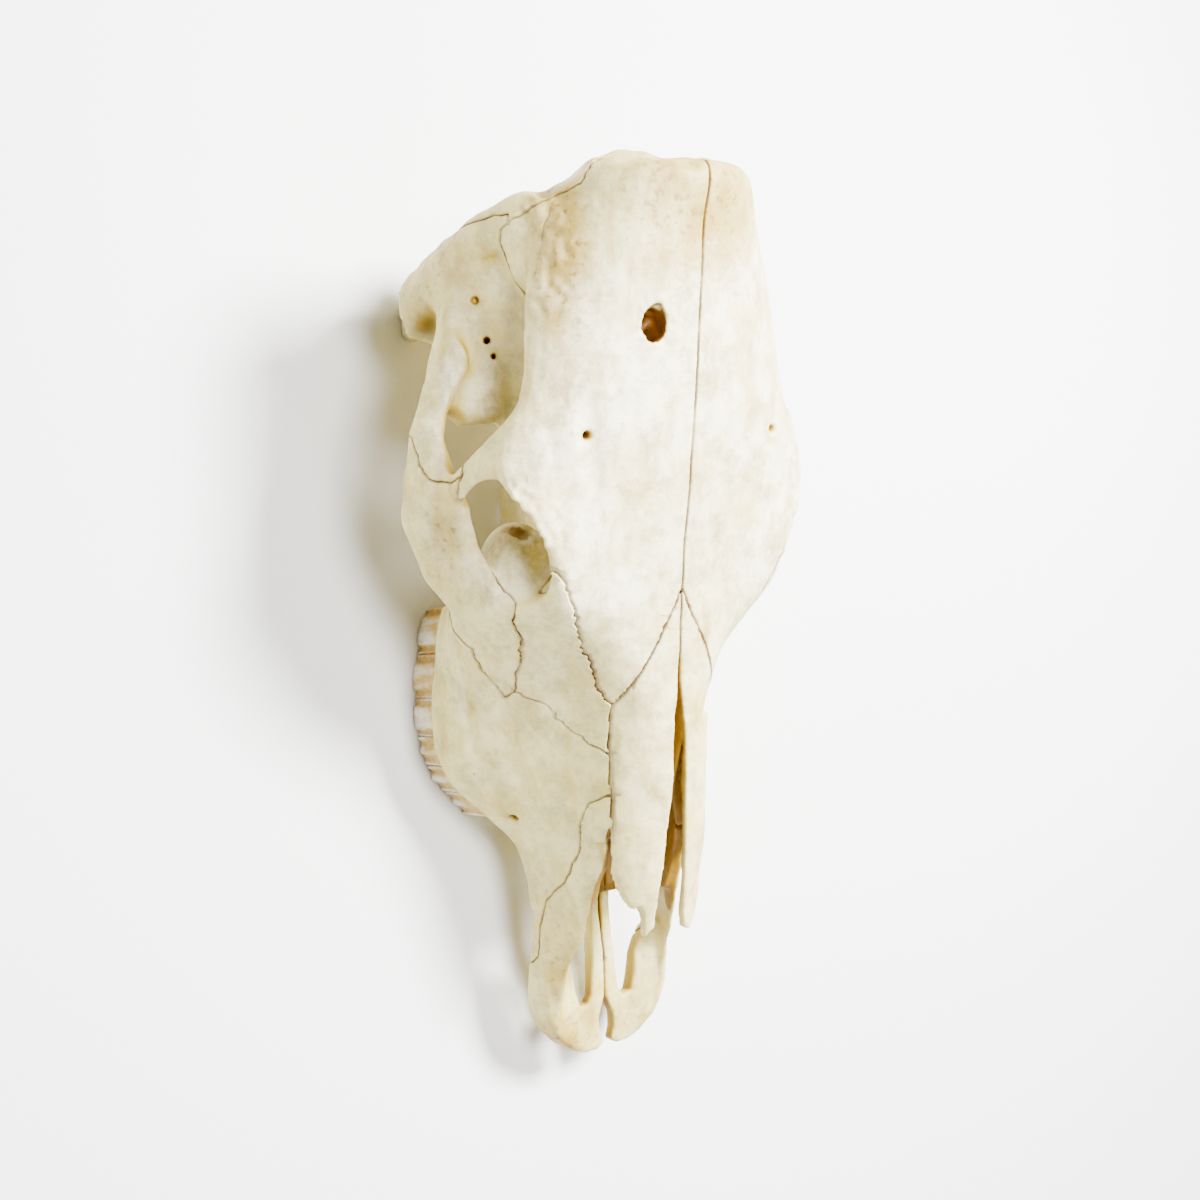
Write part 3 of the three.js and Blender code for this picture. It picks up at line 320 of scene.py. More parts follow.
# Smooth curve through rows that start with a place and go on with its values
def curve_through(rows):
    rows = np.array(rows, float)
    places, values = rows[:, 0], rows[:, 1:]
    gaps = np.diff(places)[:, None]
    steps = np.diff(values, axis=0) / gaps
    slopes = np.zeros_like(values)
    slopes[0], slopes[-1] = steps[0], steps[-1]
    before, after = steps[:-1], steps[1:]
    w1, w2 = 2 * gaps[1:] + gaps[:-1], gaps[1:] + 2 * gaps[:-1]
    with np.errstate(divide="ignore", invalid="ignore"):
        slopes[1:-1] = np.where(before * after > 0, (w1 + w2) / (w1 / before + w2 / after), 0)

    def at(place):
        y = np.clip(np.asarray(place, float), places[0], places[-1])
        i = np.clip(np.searchsorted(places, y, side="right") - 1, 0, len(places) - 2)
        h = (places[i + 1] - places[i])[..., None]
        t = (y - places[i])[..., None] / h
        u = 1 - t
        return (values[i] * (1 + 2 * t) * u * u + h * slopes[i] * t * u * u
                + values[i + 1] * t * t * (3 - 2 * t) + h * slopes[i + 1] * t * t * (t - 1))

    return at


section_at = curve_through(SECTIONS)


# Rounded half-section through a row of across, up values
def rounded_section(values):
    points = np.asarray(values).reshape(-1, 2)
    flip = np.array([-1.0, 1.0])
    row = np.vstack([points[1] * flip, points, points[-2] * flip])
    t = (np.arange(CURVE_STEPS) / CURVE_STEPS)[:, None]
    out = []
    for a, b, c, d in zip(row, row[1:], row[2:], row[3:]):
        out.append(0.5 * (2 * b + (c - a) * t + (2 * a - 5 * b + 4 * c - d) * t ** 2
                          + (3 * b - a - 3 * c + d) * t ** 3))
    return np.vstack(out + [points[-1]])


# Signed distance in a plane to an outline, closed or open along the midline
def outline_distance(p, q, outline, closed=True):
    shape = np.broadcast(p, q).shape
    best = np.full(shape, 1e9, np.float32)
    inside = np.zeros(shape, bool)
    ends = list(zip(outline, np.roll(outline, -1, axis=0)))
    for (ax, ay), (bx, by) in ends if closed else ends[:-1]:
        ex, ey = bx - ax, by - ay
        dx, dy = p - ax, q - ay
        t = np.clip((dx * ex + dy * ey) / (ex * ex + ey * ey + 1e-12), 0, 1)
        best = np.minimum(best, (dx - t * ex) ** 2 + (dy - t * ey) ** 2)
        if abs(ey) > 1e-9:
            inside ^= ((ay > q) != (by > q)) & (p < ex * dy / ey + ax)
    return np.where(inside, -1, 1) * np.sqrt(best)


# Weighted sum of a grid's values at the eight corners round each place
def blend_corners(grid, i, t):
    out = 0
    for c in range(8):
        o = [c >> 2, (c >> 1) & 1, c & 1]
        w = np.prod([t[:, a] if o[a] else 1 - t[:, a] for a in range(3)], axis=0)
        out = out + w * grid[i[:, 0] + o[0], i[:, 1] + o[1], i[:, 2] + o[2]]
    return out


# Noise between -1 and 1 on a random lattice, the same on every run
def lattice_noise(points, size, seed):
    q = points / size
    low = np.floor(q.min(0)).astype(int)
    n = np.floor(q.max(0)).astype(int) - low + 2
    lattice = np.random.default_rng(seed).uniform(-1, 1, n)
    i = np.floor(q).astype(int)
    t = q - i
    return blend_corners(lattice, i - low, t * t * (3 - 2 * t))


# Values of a field at places between its grid points
def sample(f, points):
    q = np.clip((points - FIELD_LOW) / GRID, 0, np.array(f.shape) - 1.001)
    i = q.astype(int)
    return blend_corners(f, i, q - i)


# Block of clay held as distances on a grid
class Clay:
    def __init__(self):
        self.axes = [np.arange(low, high + GRID / 2, GRID, dtype=np.float32)
                     for low, high in zip(FIELD_LOW, FIELD_HIGH)]
        self.f = np.full([len(a) for a in self.axes], FAR, np.float32)

    def window(self, low, high):
        cut = tuple(slice(int(np.searchsorted(a, l)), int(np.searchsorted(a, h)))
                    for a, l, h in zip(self.axes, low, high))
        x, y, z = [a[c] for a, c in zip(self.axes, cut)]
        return cut, (x[:, None, None], y[None, :, None], z[None, None, :])

    def work(self, shape, blend, rule):
        low, high, distance, sides = shape
        pad = blend + 2 * GRID
        for side in sides:
            l, h = np.array(low) - pad, np.array(high) + pad
            if side < 0:
                l[0], h[0] = -h[0], -l[0]
            cut, (x, y, z) = self.window(l, h)
            self.f[cut] = rule(self.f[cut], distance(x * side, y, z))

    def add(self, shape, blend):
        self.work(shape, blend, lambda f, d: smooth_min(f, d, blend))

    def cut(self, shape, blend):
        self.work(shape, blend, lambda f, d: -smooth_min(-f, d, blend))

    def trim(self, distance, blend):
        cut, (x, y, z) = self.window(FIELD_LOW - 1, FIELD_HIGH + 1)
        self.f = -smooth_min(-self.f, -distance(x, y, z), blend).astype(np.float32)

    def roughen(self, centre, reach, size, depth, seed):
        centre, reach = np.array(centre, float), np.array(reach, float)
        cut, (x, y, z) = self.window(centre - reach, centre + reach)
        far = sum(((p - c) / r) ** 2 for p, c, r in zip((x, y, z), centre, reach))
        near = np.nonzero((far < 1) & (np.abs(self.f[cut]) < ROUGH_BAND))
        fade = np.minimum(1, ROUGH_FADE * (1 - far[near]))
        places = np.stack([a[c][n] for a, c, n in zip(self.axes, cut, near)], 1).astype(float)
        self.f[cut][near] += depth * fade * lattice_noise(places, size, seed)


# Egg with its own three axes
def egg(centre, radii, sides=PAIR, axes=((1, 0, 0), (0, 1, 0), (0, 0, 1))):
    centre, radii, axes = np.array(centre, float), np.array(radii, float), np.array(axes, float)
    reach = np.sqrt(((axes * radii[:, None]) ** 2).sum(0))

    def distance(x, y, z):
        dx, dy, dz = x - centre[0], y - centre[1], z - centre[2]
        near, slope = 0, 0
        for axis, r in zip(axes, radii):
            along = dx * axis[0] + dy * axis[1] + dz * axis[2]
            near = near + (along / r) ** 2
            slope = slope + (along / r ** 2) ** 2
        near = np.sqrt(near)
        return near * (near - 1) / (np.sqrt(slope) + 1e-9)

    return centre - reach, centre + reach, distance, sides


# Bar through stops of x, y, z and radius, thinned along a direction when it is a plate
def bar(stops, sides=PAIR, thin=None, share=1.0):
    stops = np.array(stops, float)
    n = np.array(thin, float) / np.linalg.norm(thin) if thin else np.zeros(3)
    squeeze = 1 / share ** 2 - 1
    scale = min(1, share * THIN_SCALE)

    def distance(x, y, z):
        best = 1e9
        for a, b in zip(stops, stops[1:]):
            e = b[:3] - a[:3]
            px, py, pz = x - a[0], y - a[1], z - a[2]
            t = np.clip((px * e[0] + py * e[1] + pz * e[2]) / (e @ e), 0, 1)
            qx, qy, qz = px - t * e[0], py - t * e[1], pz - t * e[2]
            across = qx * n[0] + qy * n[1] + qz * n[2]
            far = np.sqrt(qx ** 2 + qy ** 2 + qz ** 2 + across ** 2 * squeeze)
            best = np.minimum(best, (far - a[3] - t * (b[3] - a[3])) * scale)
        return best

    most = stops[:, 3].max()
    return stops[:, :3].min(0) - most, stops[:, :3].max(0) + most, distance, sides


# Plate with an outline seen from above, a middle height and a half thickness
def plate(outline, middle, half, heights, sides=PAIR, edge=2.0):
    outline = np.array(outline, float)

    def distance(x, y, z):
        d = outline_distance(x, y, outline)
        return -smooth_min(-d, half - np.abs(z - middle(x, y)), edge)

    low, high = outline.min(0), outline.max(0)
    return [*low, heights[0]], [*high, heights[1]], distance, sides


# How far the left nasal bone has sprung out at a place along it
def sprung(y):
    return LEFT_SPRUNG * np.clip((NASAL_ROOT - y) / (NASAL_ROOT - NASAL_FRONT), 0, 1)


# Height of the middle of a nasal bone
def nasal_middle(x, y):
    s = section_at(np.clip(y, NASAL_FRONT, NASAL_BACK))
    crown = s[..., ROOF_UP] - NASAL_DROOP * np.maximum(0, NASAL_FRONT - y)
    fall = (crown - s[..., EDGE_UP]) * NASAL_FALL
    across = np.where(x > 0, np.maximum(0, x - sprung(y)), -x)
    share = np.minimum(NASAL_FALL_MOST, across / s[..., EDGE_ACROSS])
    return crown - fall * share ** NASAL_FALL_POWER - NASAL_HALF


# Height of the middle of the shelf at the root of the cheek arch
def shelf_middle(x, y):
    return SHELF_HEIGHT + SHELF_RISE * (y - SHELF_FRONT) + SHELF_CURL * np.maximum(0, SHELF_EDGE - x) ** 2


# Height of the middle of the front jaw bones
def jaw_middle(x, y):
    rise = JAW_RISE * np.clip(y, 0, JAW_RISE_END)
    return JAW_HEIGHT + rise + JAW_CURL * np.maximum(0, x - JAW_CURL_FROM) ** 2


# Middle height of the cut that frees the tips of the nasal bones
def tips_middle(x, y):
    return 0 * x + TIPS_MIDDLE


# Distance in front of the notch of the nose
def nose_notch(x, y, z):
    return NOTCH_SCALE * (NOTCH_FRONT + NOTCH_LEAN * np.maximum(0, z - NOTCH_FOOT) - y)


# Distance behind the back of the head
def head_back(x, y, z):
    return NAPE_SCALE * (y - NAPE_BACK + NAPE_FALL_BELOW * np.maximum(0, NAPE_LOW - z)
                         + NAPE_FALL_ASIDE * x * x + NAPE_FALL_ABOVE * np.maximum(0, z - NAPE_HIGH) ** 2)


# Core of the skull through its sections, cut off by the notch of the nose and the back of the head
def skull_core(clay):
    xs, ys, zs = clay.axes
    middle = len(xs) // 2
    for j, y in enumerate(ys):
        section = rounded_section(section_at(min(LOFT_BACK, max(LOFT_FRONT, y))))
        d = outline_distance(xs[middle:, None], zs[None, :], section, closed=False)
        d = np.maximum(d, max(LOFT_FRONT - y, y - LOFT_BACK))
        clay.f[:, j, :] = np.concatenate([d[:0:-1], d])
    clay.trim(nose_notch, blend=3)
    clay.trim(head_back, blend=6)
    clay.add(egg(*POLL_BUMP), blend=9)
    clay.add(egg(*CREST_FILL), blend=9)
    clay.cut(egg(*LEFT_POLL_CUT, SINGLE), blend=8)
    clay.cut(egg(*POLL_DIP, SINGLE), blend=5)


# Eye socket with the thin-walled swelling on its floor, cheekbone and cheek arch
def eye_and_cheek(clay):
    clay.add(plate(ARCH_ROOT_SHELF, shelf_middle, SHELF_HALF, SHELF_SPAN, edge=6), blend=9)
    clay.add(bar(CHEEK_ARCH, thin=[0.9, -0.15, 0.42], share=0.42), blend=7)
    clay.add(bar(BEHIND_EYE, thin=[0.87, 0, 0.49], share=0.32), blend=6)
    clay.cut(bar(EYE_SOCKET, thin=[-0.15, 0, 1], share=0.68), blend=3)
    clay.cut(bar(CHEEK_DISH), blend=5)
    clay.cut(bar(FACE_DISH), blend=5)
    clay.cut(bar(SOCKET_CREASE), blend=2)
    clay.add(egg(*TEAR_BULLA), blend=5)
    clay.cut(egg(*LEFT_EYE_NOTCH, SINGLE), blend=4)


# Condyles, crests, ear and underside of the skull
def back_and_base(clay):
    clay.add(egg(*CONDYLE, axes=CONDYLE_AXES), blend=8)
    clay.add(bar(CONDYLE_PROCESS, thin=[1, 0.2, 0], share=0.6), blend=8)
    clay.cut(bar(GREAT_FORAMEN, SINGLE), blend=3)
    clay.add(bar(EAR_TUBE), blend=6)
    clay.cut(bar(EAR_HOLE), blend=2)
    clay.add(bar(TEMPORAL_CREST, thin=[0.97, -0.04, 0.23], share=0.5), blend=10)
    clay.add(egg(*EAR_BULLA), blend=6)
    clay.add(bar(BRAINCASE_FLOOR, SINGLE), blend=12)
    clay.add(bar(THROAT_PLATE, thin=[1, 0, 0], share=0.22), blend=5)
    clay.add(bar(THROAT_ROOT, thin=[1, 0, 0], share=0.4), blend=6)


# Front jaw bones, nasal passage and the roof of the nose, drawn out past the upper jaw
def muzzle(clay):
    clay.add(plate(FRONT_JAW, jaw_middle, JAW_HALF, JAW_SPAN, edge=3), blend=2)
    clay.add(bar(NASAL_PROCESS, thin=[0.95, 0, 0.32], share=0.2), blend=4)
    clay.add(bar(JAW_BODY), blend=8)
    clay.cut(bar(NASAL_PASSAGE, SINGLE, thin=[1, 0, 0], share=0.9), blend=3)
    clay.add(plate(SNOUT, nasal_middle, NASAL_HALF, SNOUT_SPAN, SINGLE), blend=2)
    clay.cut(plate(NASAL_TIPS, tips_middle, TIPS_HALF, TIPS_SPAN, SINGLE, edge=0.3), blend=0.8)


# Foramina and the ragged hole in the forehead
def holes(clay):
    clay.cut(bar(BOLT_HOLE, SINGLE, thin=[1, 0, 0], share=0.76), blend=0.8)
    clay.roughen(*BOLT_RIM, size=3.2, depth=1.0, seed=31)
    clay.add(bar(BOLT_FLECK, SINGLE), blend=1)
    clay.cut(bar(BROW_HOLE), blend=1)
    clay.cut(bar(BROW_GROOVE), blend=4)
    clay.cut(bar(FACE_HOLE, thin=[1, 1, 0], share=0.7), blend=2)
    for x, y, z, radius, depth in TEMPLE_HOLES:
        mouth = [x + TEMPLE_MOUTH_OUT, y, z + TEMPLE_MOUTH_UP, radius * TEMPLE_FLARE]
        end = [x - TEMPLE_LEAN * depth, y, z - depth, radius * TEMPLE_TAPER]
        clay.cut(bar([mouth, end]), blend=0.8)
    clay.cut(bar(TEAR_HOLE), blend=0.8)
    clay.cut(bar(PALATE_HOLE), blend=1)


# Rough places: eye rim, edge of the tear swelling, muscle lines, poll, and the grain of the whole bone
def rough_places(clay):
    for side in PAIR:
        for (x, y, z), reach, size, depth, seed in ROUGH_PAIRS:
            clay.roughen([x * side, y, z], reach, size, depth, seed)
    for row in ROUGH_MIDDLE:
        clay.roughen(*row)


# Whole skull as one block of clay
def skull_clay():
    clay = Clay()
    for step in (skull_core, eye_and_cheek, back_and_base, muzzle, holes, rough_places):
        step(clay)
    return clay


# Solid grid points that meet only along an edge are joined, so that the surface stays closed
def mend_corners(f):
    inside = f < 0
    for a, b in ((0, 1), (0, 2), (1, 2)) * MEND_PASSES:
        def shifted(da, db):
            cut = [slice(None)] * 3
            cut[a] = slice(da, inside.shape[a] - 1 + da)
            cut[b] = slice(db, inside.shape[b] - 1 + db)
            return tuple(cut)

        i00, i10 = inside[shifted(0, 0)], inside[shifted(1, 0)]
        i01, i11 = inside[shifted(0, 1)], inside[shifted(1, 1)]
        for fill, wrong in (((1, 0), i00 & i11 & ~i10 & ~i01), ((0, 0), i10 & i01 & ~i00 & ~i11)):
            f[shifted(*fill)][wrong] = -CORNER_FILL * GRID
            inside[shifted(*fill)][wrong] = True
    return inside


# Closed quads of a field's zero surface
def surface(f):
    spans = [np.flatnonzero((f < GRID).any(axis=tuple(o for o in range(3) if o != a))) for a in range(3)]
    first = np.array([max(0, s[0] - 2) for s in spans])
    f = f[tuple(slice(a, s[-1] + 3) for a, s in zip(first, spans))].copy()
    inside = mend_corners(f)
    n = np.array(f.shape)
    corners = [(i, j, k) for i in (0, 1) for j in (0, 1) for k in (0, 1)]
    blocks = [inside[i:n[0] - 1 + i, j:n[1] - 1 + j, k:n[2] - 1 + k] for i, j, k in corners]
    count = sum(block.astype(np.int8) for block in blocks)
    cells = (count > 0) & (count < 8)
    number = np.full(cells.shape, -1, np.int32)
    where = np.argwhere(cells)
    number[cells] = np.arange(len(where))
    total, crossings = np.zeros((len(where), 3)), np.zeros(len(where))
    value = {c: f[tuple((where + c).T)] for c in corners}
    for c in corners:
        for axis in range(3):
            if c[axis] == 0:
                other = tuple(1 if a == axis else v for a, v in enumerate(c))
                a, b = value[c], value[other]
                m = (a < 0) != (b < 0)
                spot = np.tile(np.array(c, float), (int(m.sum()), 1))
                spot[:, axis] += a[m] / (a[m] - b[m])
                total[m] += spot
                crossings[m] += 1
    points = (where + first + total / crossings[:, None]) * GRID + FIELD_LOW
    quads = []
    for axis in range(3):
        u, v = (axis + 1) % 3, (axis + 2) % 3
        front, behind = [slice(None)] * 3, [slice(None)] * 3
        front[axis], behind[axis] = slice(0, n[axis] - 1), slice(1, n[axis])
        a, b = inside[tuple(front)], inside[tuple(behind)]
        e = np.argwhere(a != b)
        e = e[(e[:, u] > 0) & (e[:, v] > 0) & (e[:, u] < n[u] - 1) & (e[:, v] < n[v] - 1)]
        outward = a[tuple(e.T)]

        def cell(du, dv):
            q = e.copy()
            q[:, u] -= du
            q[:, v] -= dv
            return number[tuple(q.T)]

        q = np.stack([cell(1, 1), cell(0, 1), cell(0, 0), cell(1, 0)], 1)
        q[~outward] = q[~outward][:, ::-1]
        quads.append(q)
    return largest(points, np.vstack(quads))


# Largest closed surface of a set of quads
def largest(points, quads):
    label = np.arange(len(points))
    edges = np.vstack([quads[:, [0, 1]], quads[:, [1, 2]], quads[:, [2, 3]], quads[:, [3, 0]]])
    while True:
        low = np.minimum(label[edges[:, 0]], label[edges[:, 1]])
        new = label.copy()
        np.minimum.at(new, edges[:, 0], low)
        np.minimum.at(new, edges[:, 1], low)
        new = new[new]
        if (new == label).all():
            break
        label = new
    names, sizes = np.unique(label[quads[:, 0]], return_counts=True)
    keep = label == names[sizes.argmax()]
    number = np.cumsum(keep) - 1
    return points[keep], number[quads[keep[quads[:, 0]]]]


# Outline with the small bends of a suture, straight where it lies on the midline
def wavering(outline, depth, rng, keep_middle):
    out = []
    for a, b in zip(outline, outline[1:] + outline[:1]):
        a, b = np.array(a, float), np.array(b, float)
        length = np.linalg.norm(b - a)
        out.append(a)
        if keep_middle and abs(a[0]) < ON_MIDLINE and abs(b[0]) < ON_MIDLINE:
            continue
        count = int(length // WAVER_STEP)
        normal = np.array([b[1] - a[1], a[0] - b[0]]) / length
        sway = 0.0
        for i in range(1, count):
            sway = SWAY_KEPT * sway + rng.uniform(-1, 1)
            bend = depth * (sway + (-1) ** i * rng.uniform(0.0, ZIGZAG))
            out.append(a + (b - a) * i / count + normal * bend)
    return np.array(out)


# Distances to the edges of one bone's region
def region_distance(above, side, hand, clay):
    xs, ys, zs = clay.axes
    plan = outline_distance(hand * xs[:, None], ys[None, :], above)
    profile = outline_distance(ys[:, None], zs[None, :], side)
    return np.maximum(plan[:, :, None], profile[None, :, :]).astype(np.float32)


# Outline of a nasal bone with its outer edge moved as far as the left bone has sprung
def sprung_outline(outline):
    return [[x + float(sprung(y)) if x > SPRUNG_FROM else x, y] for x, y in outline]


# Bones parted along their sutures, as points and quads by node name, and the distance to the nearest suture
def part_bones(clay):
    rng = np.random.default_rng(SUTURE_SEED)
    rest = np.maximum(clay.f, -clay.axes[2][None, None, :])
    seam = np.full(rest.shape, FAR, np.float32)
    half = SUTURE_GAP / 2
    pieces = {}
    for name, above, side, waver in BONES:
        took = []
        for hand, word in ((1, "left"), (-1, "right")):
            outline = sprung_outline(above) if name == "nasal" and hand > 0 else above
            plan = wavering(outline, waver, rng, True)
            profile = wavering(side, waver, rng, False)
            d = region_distance(plan, profile, hand, clay)
            if name == "premaxilla":
                d = np.minimum(d, region_distance(*PALATE_STRIP, hand, clay))
            pieces[f"{name}_{word}"] = surface(np.maximum(rest, d + half))
            np.minimum(seam, np.where(rest < SEAM_BAND, np.abs(d), FAR), out=seam)
            took.append(d)
        for d in took:
            np.maximum(rest, half - d, out=rest)
    back = (BASE_BACK - clay.axes[1])[None, :, None]
    pieces["occipital"] = surface(np.maximum(rest, back + half))
    pieces["skull_base"] = surface(np.maximum(rest, half - back))
    np.minimum(seam, np.where(rest < SEAM_BAND, np.abs(back), FAR), out=seam)
    return pieces, seam


# Distance from points to rows of places
def line_distance(points, rows):
    best = np.full(len(points), FAR)
    for row in rows:
        row = np.array(row, float)
        box = (points > row.min(0) - LINE_REACH).all(1) & (points < row.max(0) + LINE_REACH).all(1)
        near = points[box]
        for a, b in zip(row, row[1:]):
            e = b - a
            t = np.clip((near - a) @ e / (e @ e), 0, 1)
            best[box] = np.minimum(best[box], np.linalg.norm(near - a - t[:, None] * e, axis=1))
    return best


# Directions that the surface faces at points
def facing(f, points):
    slope = np.stack([sample(f, points + s) - sample(f, points - s) for s in np.eye(3) * GRID], 1)
    return slope / (np.linalg.norm(slope, axis=1)[:, None] + 1e-9)


# How open the surface is at points: 1 in the open, 0 deep inside a hollow
def openness(f, points, normal):
    clear = [np.clip(sample(f, points + normal * r) / r, 0, 1) for r in OPEN_REACHES]
    return sum(clear) / len(OPEN_REACHES)


# Soft patch round a place
def patch(points, centre, radii):
    far = np.sqrt((((points - np.array(centre)) / np.array(radii)) ** 2).sum(1))
    return np.clip(PATCH_EDGE - far, 0, 1)


# Strongest of a set of patches at points
def patches(points, rows):
    best = np.zeros(len(points))
    for centre, radii, strength in rows:
        best = np.maximum(best, strength * patch(points, centre, radii))
    return best


# Points on the walls of the nasal passage, where painted shade goes
def inside_nose(points, normal):
    x, y, z = points.T
    under_roof = nasal_middle(x, y) - z > NOSE_ROOF * NASAL_HALF
    within = (np.abs(x) < NOSE_HALF) & (y > NOSE_FRONT) & (y < NOSE_BACK) & (z > NOSE_FLOOR)
    inner = (normal[:, 0] * x < 0) | (normal[:, 2] < 0)
    return under_roof & within & inner


# Looks of a bone's surface at its points
def surface_values(points, clay, seam):
    normal = facing(clay.f, points)
    opened = openness(clay.f, points, normal)
    sway = np.stack([lattice_noise(points, LINE_GRAIN, LINE_SEED + a) for a in range(3)], 1)
    lines = line_distance(points + LINE_WOBBLE * sway, SURFACE_LINES)
    folded = np.abs(points)
    # Painted light on the tear swelling, which also lifts the painted shade there
    lit_swelling = patch(folded, *TEAR_SWELLING)
    # Painted shade inside the forehead's hole, where the surface is closed in
    bolt_shade = patch(points, *BOLT_INSIDE) * np.clip((BOLT_OPEN - opened) / BOLT_SOFT, 0, 1)
    mirrored = points * np.array([-1, 1, 1])
    # Painted shade, amber, inside the tear hole where the surface is closed in
    tear_shade = patch(mirrored, *TEAR_INSIDE) * np.clip((TEAR_OPEN - opened) / TEAR_SOFT, 0, 1)
    # Painted light on faces that look up, weighted by their place along the skull
    painted_top_light = np.clip((normal[:, 2] - TOP_LIGHT_LOW) / TOP_LIGHT_SOFT, 0, 1) * np.interp(points[:, 1], *TOP_LIGHT_ALONG)
    return {
        "open": opened + SWELLING_LIFT * lit_swelling,
        "seam": np.minimum(sample(seam, points), lines),
        "stain": patches(points, STAINS),
        "painted_top_light": painted_top_light + lit_swelling,
        # Painted shade, amber, on the walls of the nasal passage and in the tear hole
        "nose_shade": np.maximum(inside_nose(points, normal), tear_shade),
        # Painted shade, dark olive, in the listed deep places
        "hollow_shade": np.clip(patches(folded, SHADE_HOLLOWS) - SWELLING_UNSHADE * lit_swelling, 0, 1),
        "hole_shade": bolt_shade,
    }


# Mesh object from points in the skull's own measure
def make_piece(name, points, faces, values, material, node):
    mesh = bpy.data.meshes.new(name)
    size = faces.shape[1]
    mesh.vertices.add(len(points))
    mesh.vertices.foreach_set("co", ((points - FRAME_ORIGIN) * MM).astype(np.float32).ravel())
    mesh.loops.add(faces.size)
    mesh.loops.foreach_set("vertex_index", faces.astype(np.int32).ravel())
    mesh.polygons.add(len(faces))
    mesh.polygons.foreach_set("loop_start", np.arange(0, faces.size, size, dtype=np.int32))
    mesh.polygons.foreach_set("loop_total", np.full(len(faces), size, np.int32))
    mesh.update(calc_edges=True)
    mesh.validate()
    mesh.shade_smooth()
    for key, value in values.items():
        mesh.attributes.new(key, "FLOAT", "POINT").data.foreach_set("value", value.astype(np.float32))
    mesh.materials.append(material)
    piece = bpy.data.objects.new(name, mesh)
    bpy.context.collection.objects.link(piece)
    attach(piece, "root")
    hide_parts(node)


# Node material written as short calls
class Shader:
    def __init__(self, name):
        self.material = bpy.data.materials.new(name)
        self.material.use_nodes = True
        self.nodes = self.material.node_tree.nodes
        self.links = self.material.node_tree.links
        self.bsdf = self.nodes["Principled BSDF"]
        self.place = self.nodes.new("ShaderNodeTexCoord").outputs["Object"]

    def add(self, kind, inputs=(), **settings):
        node = self.nodes.new(kind)
        for key, value in settings.items():
            setattr(node, key, value)
        for socket, value in dict(inputs).items():
            if hasattr(value, "is_output"):
                self.links.new(value, node.inputs[socket])
            else:
                node.inputs[socket].default_value = value
        return node

    def value(self, name):
        return self.add("ShaderNodeAttribute", attribute_name=name).outputs["Fac"]

    def noise(self, scale, detail=6.0, roughness=0.6, stretch=(1, 1, 1)):
        place = self.add("ShaderNodeMapping", {"Vector": self.place, "Scale": stretch}).outputs["Vector"]
        return self.add("ShaderNodeTexNoise", {"Vector": place, "Scale": scale, "Detail": detail,
                                               "Roughness": roughness}).outputs["Fac"]

    def cells(self, scale, output="Distance"):
        return self.add("ShaderNodeTexVoronoi", {"Vector": self.place, "Scale": scale}).outputs[output]

    def ramp(self, value, low, high, to_low=0.0, to_high=1.0):
        return self.add("ShaderNodeMapRange", {"Value": value, "From Min": low, "From Max": high,
                                               "To Min": to_low, "To Max": to_high}).outputs["Result"]

    def math(self, operation, a, b):
        return self.add("ShaderNodeMath", {0: a, 1: b}, operation=operation).outputs["Value"]

    def mix(self, factor, a, b):
        return self.add("ShaderNodeMix", {0: factor, 6: a, 7: b}, data_type="RGBA").outputs[2]

    def give(self, socket, value):
        if hasattr(value, "is_output"):
            self.links.new(value, self.bsdf.inputs[socket])
        else:
            self.bsdf.inputs[socket].default_value = value


# Linear colour of red, green and blue out of 255
def srgb(r, g, b):
    return tuple(((c / 255 + 0.055) / 1.055) ** 2.4 for c in (r, g, b)) + (1.0,)


# Near white of the painted light on faces that look up
PAINTED_LIGHT_IVORY = srgb(244, 236, 200)
CREAM = srgb(226, 211, 138)
# Straw for the blotches and for painted shade where the surface is closed in
STRAW_TONE_AND_SHADE = srgb(194, 170, 66)
# Ochre of the painted shade deep in closed-in places
SHADE_OCHRE = srgb(132, 90, 2)
TAN = srgb(158, 126, 18)
UMBER = srgb(112, 74, 4)
# Dark brown of the painted shade inside the forehead's hole
HOLE_SHADE_BROWN = srgb(112, 70, 0)
FLECK = srgb(110, 80, 10)
# Dark olive of the painted shade in the listed deep places
SHADE_OLIVE = srgb(96, 74, 2)
# Amber of the painted shade inside the nose and the tear hole
SHADE_AMBER = srgb(152, 112, 0)
DUST = srgb(174, 164, 110)
ENAMEL = srgb(248, 242, 218)
CEMENT = srgb(206, 168, 78)
GROOVE = srgb(136, 92, 16)

# Span that most of a noise's values lie in
NOISE_SPAN = 0.3, 0.7
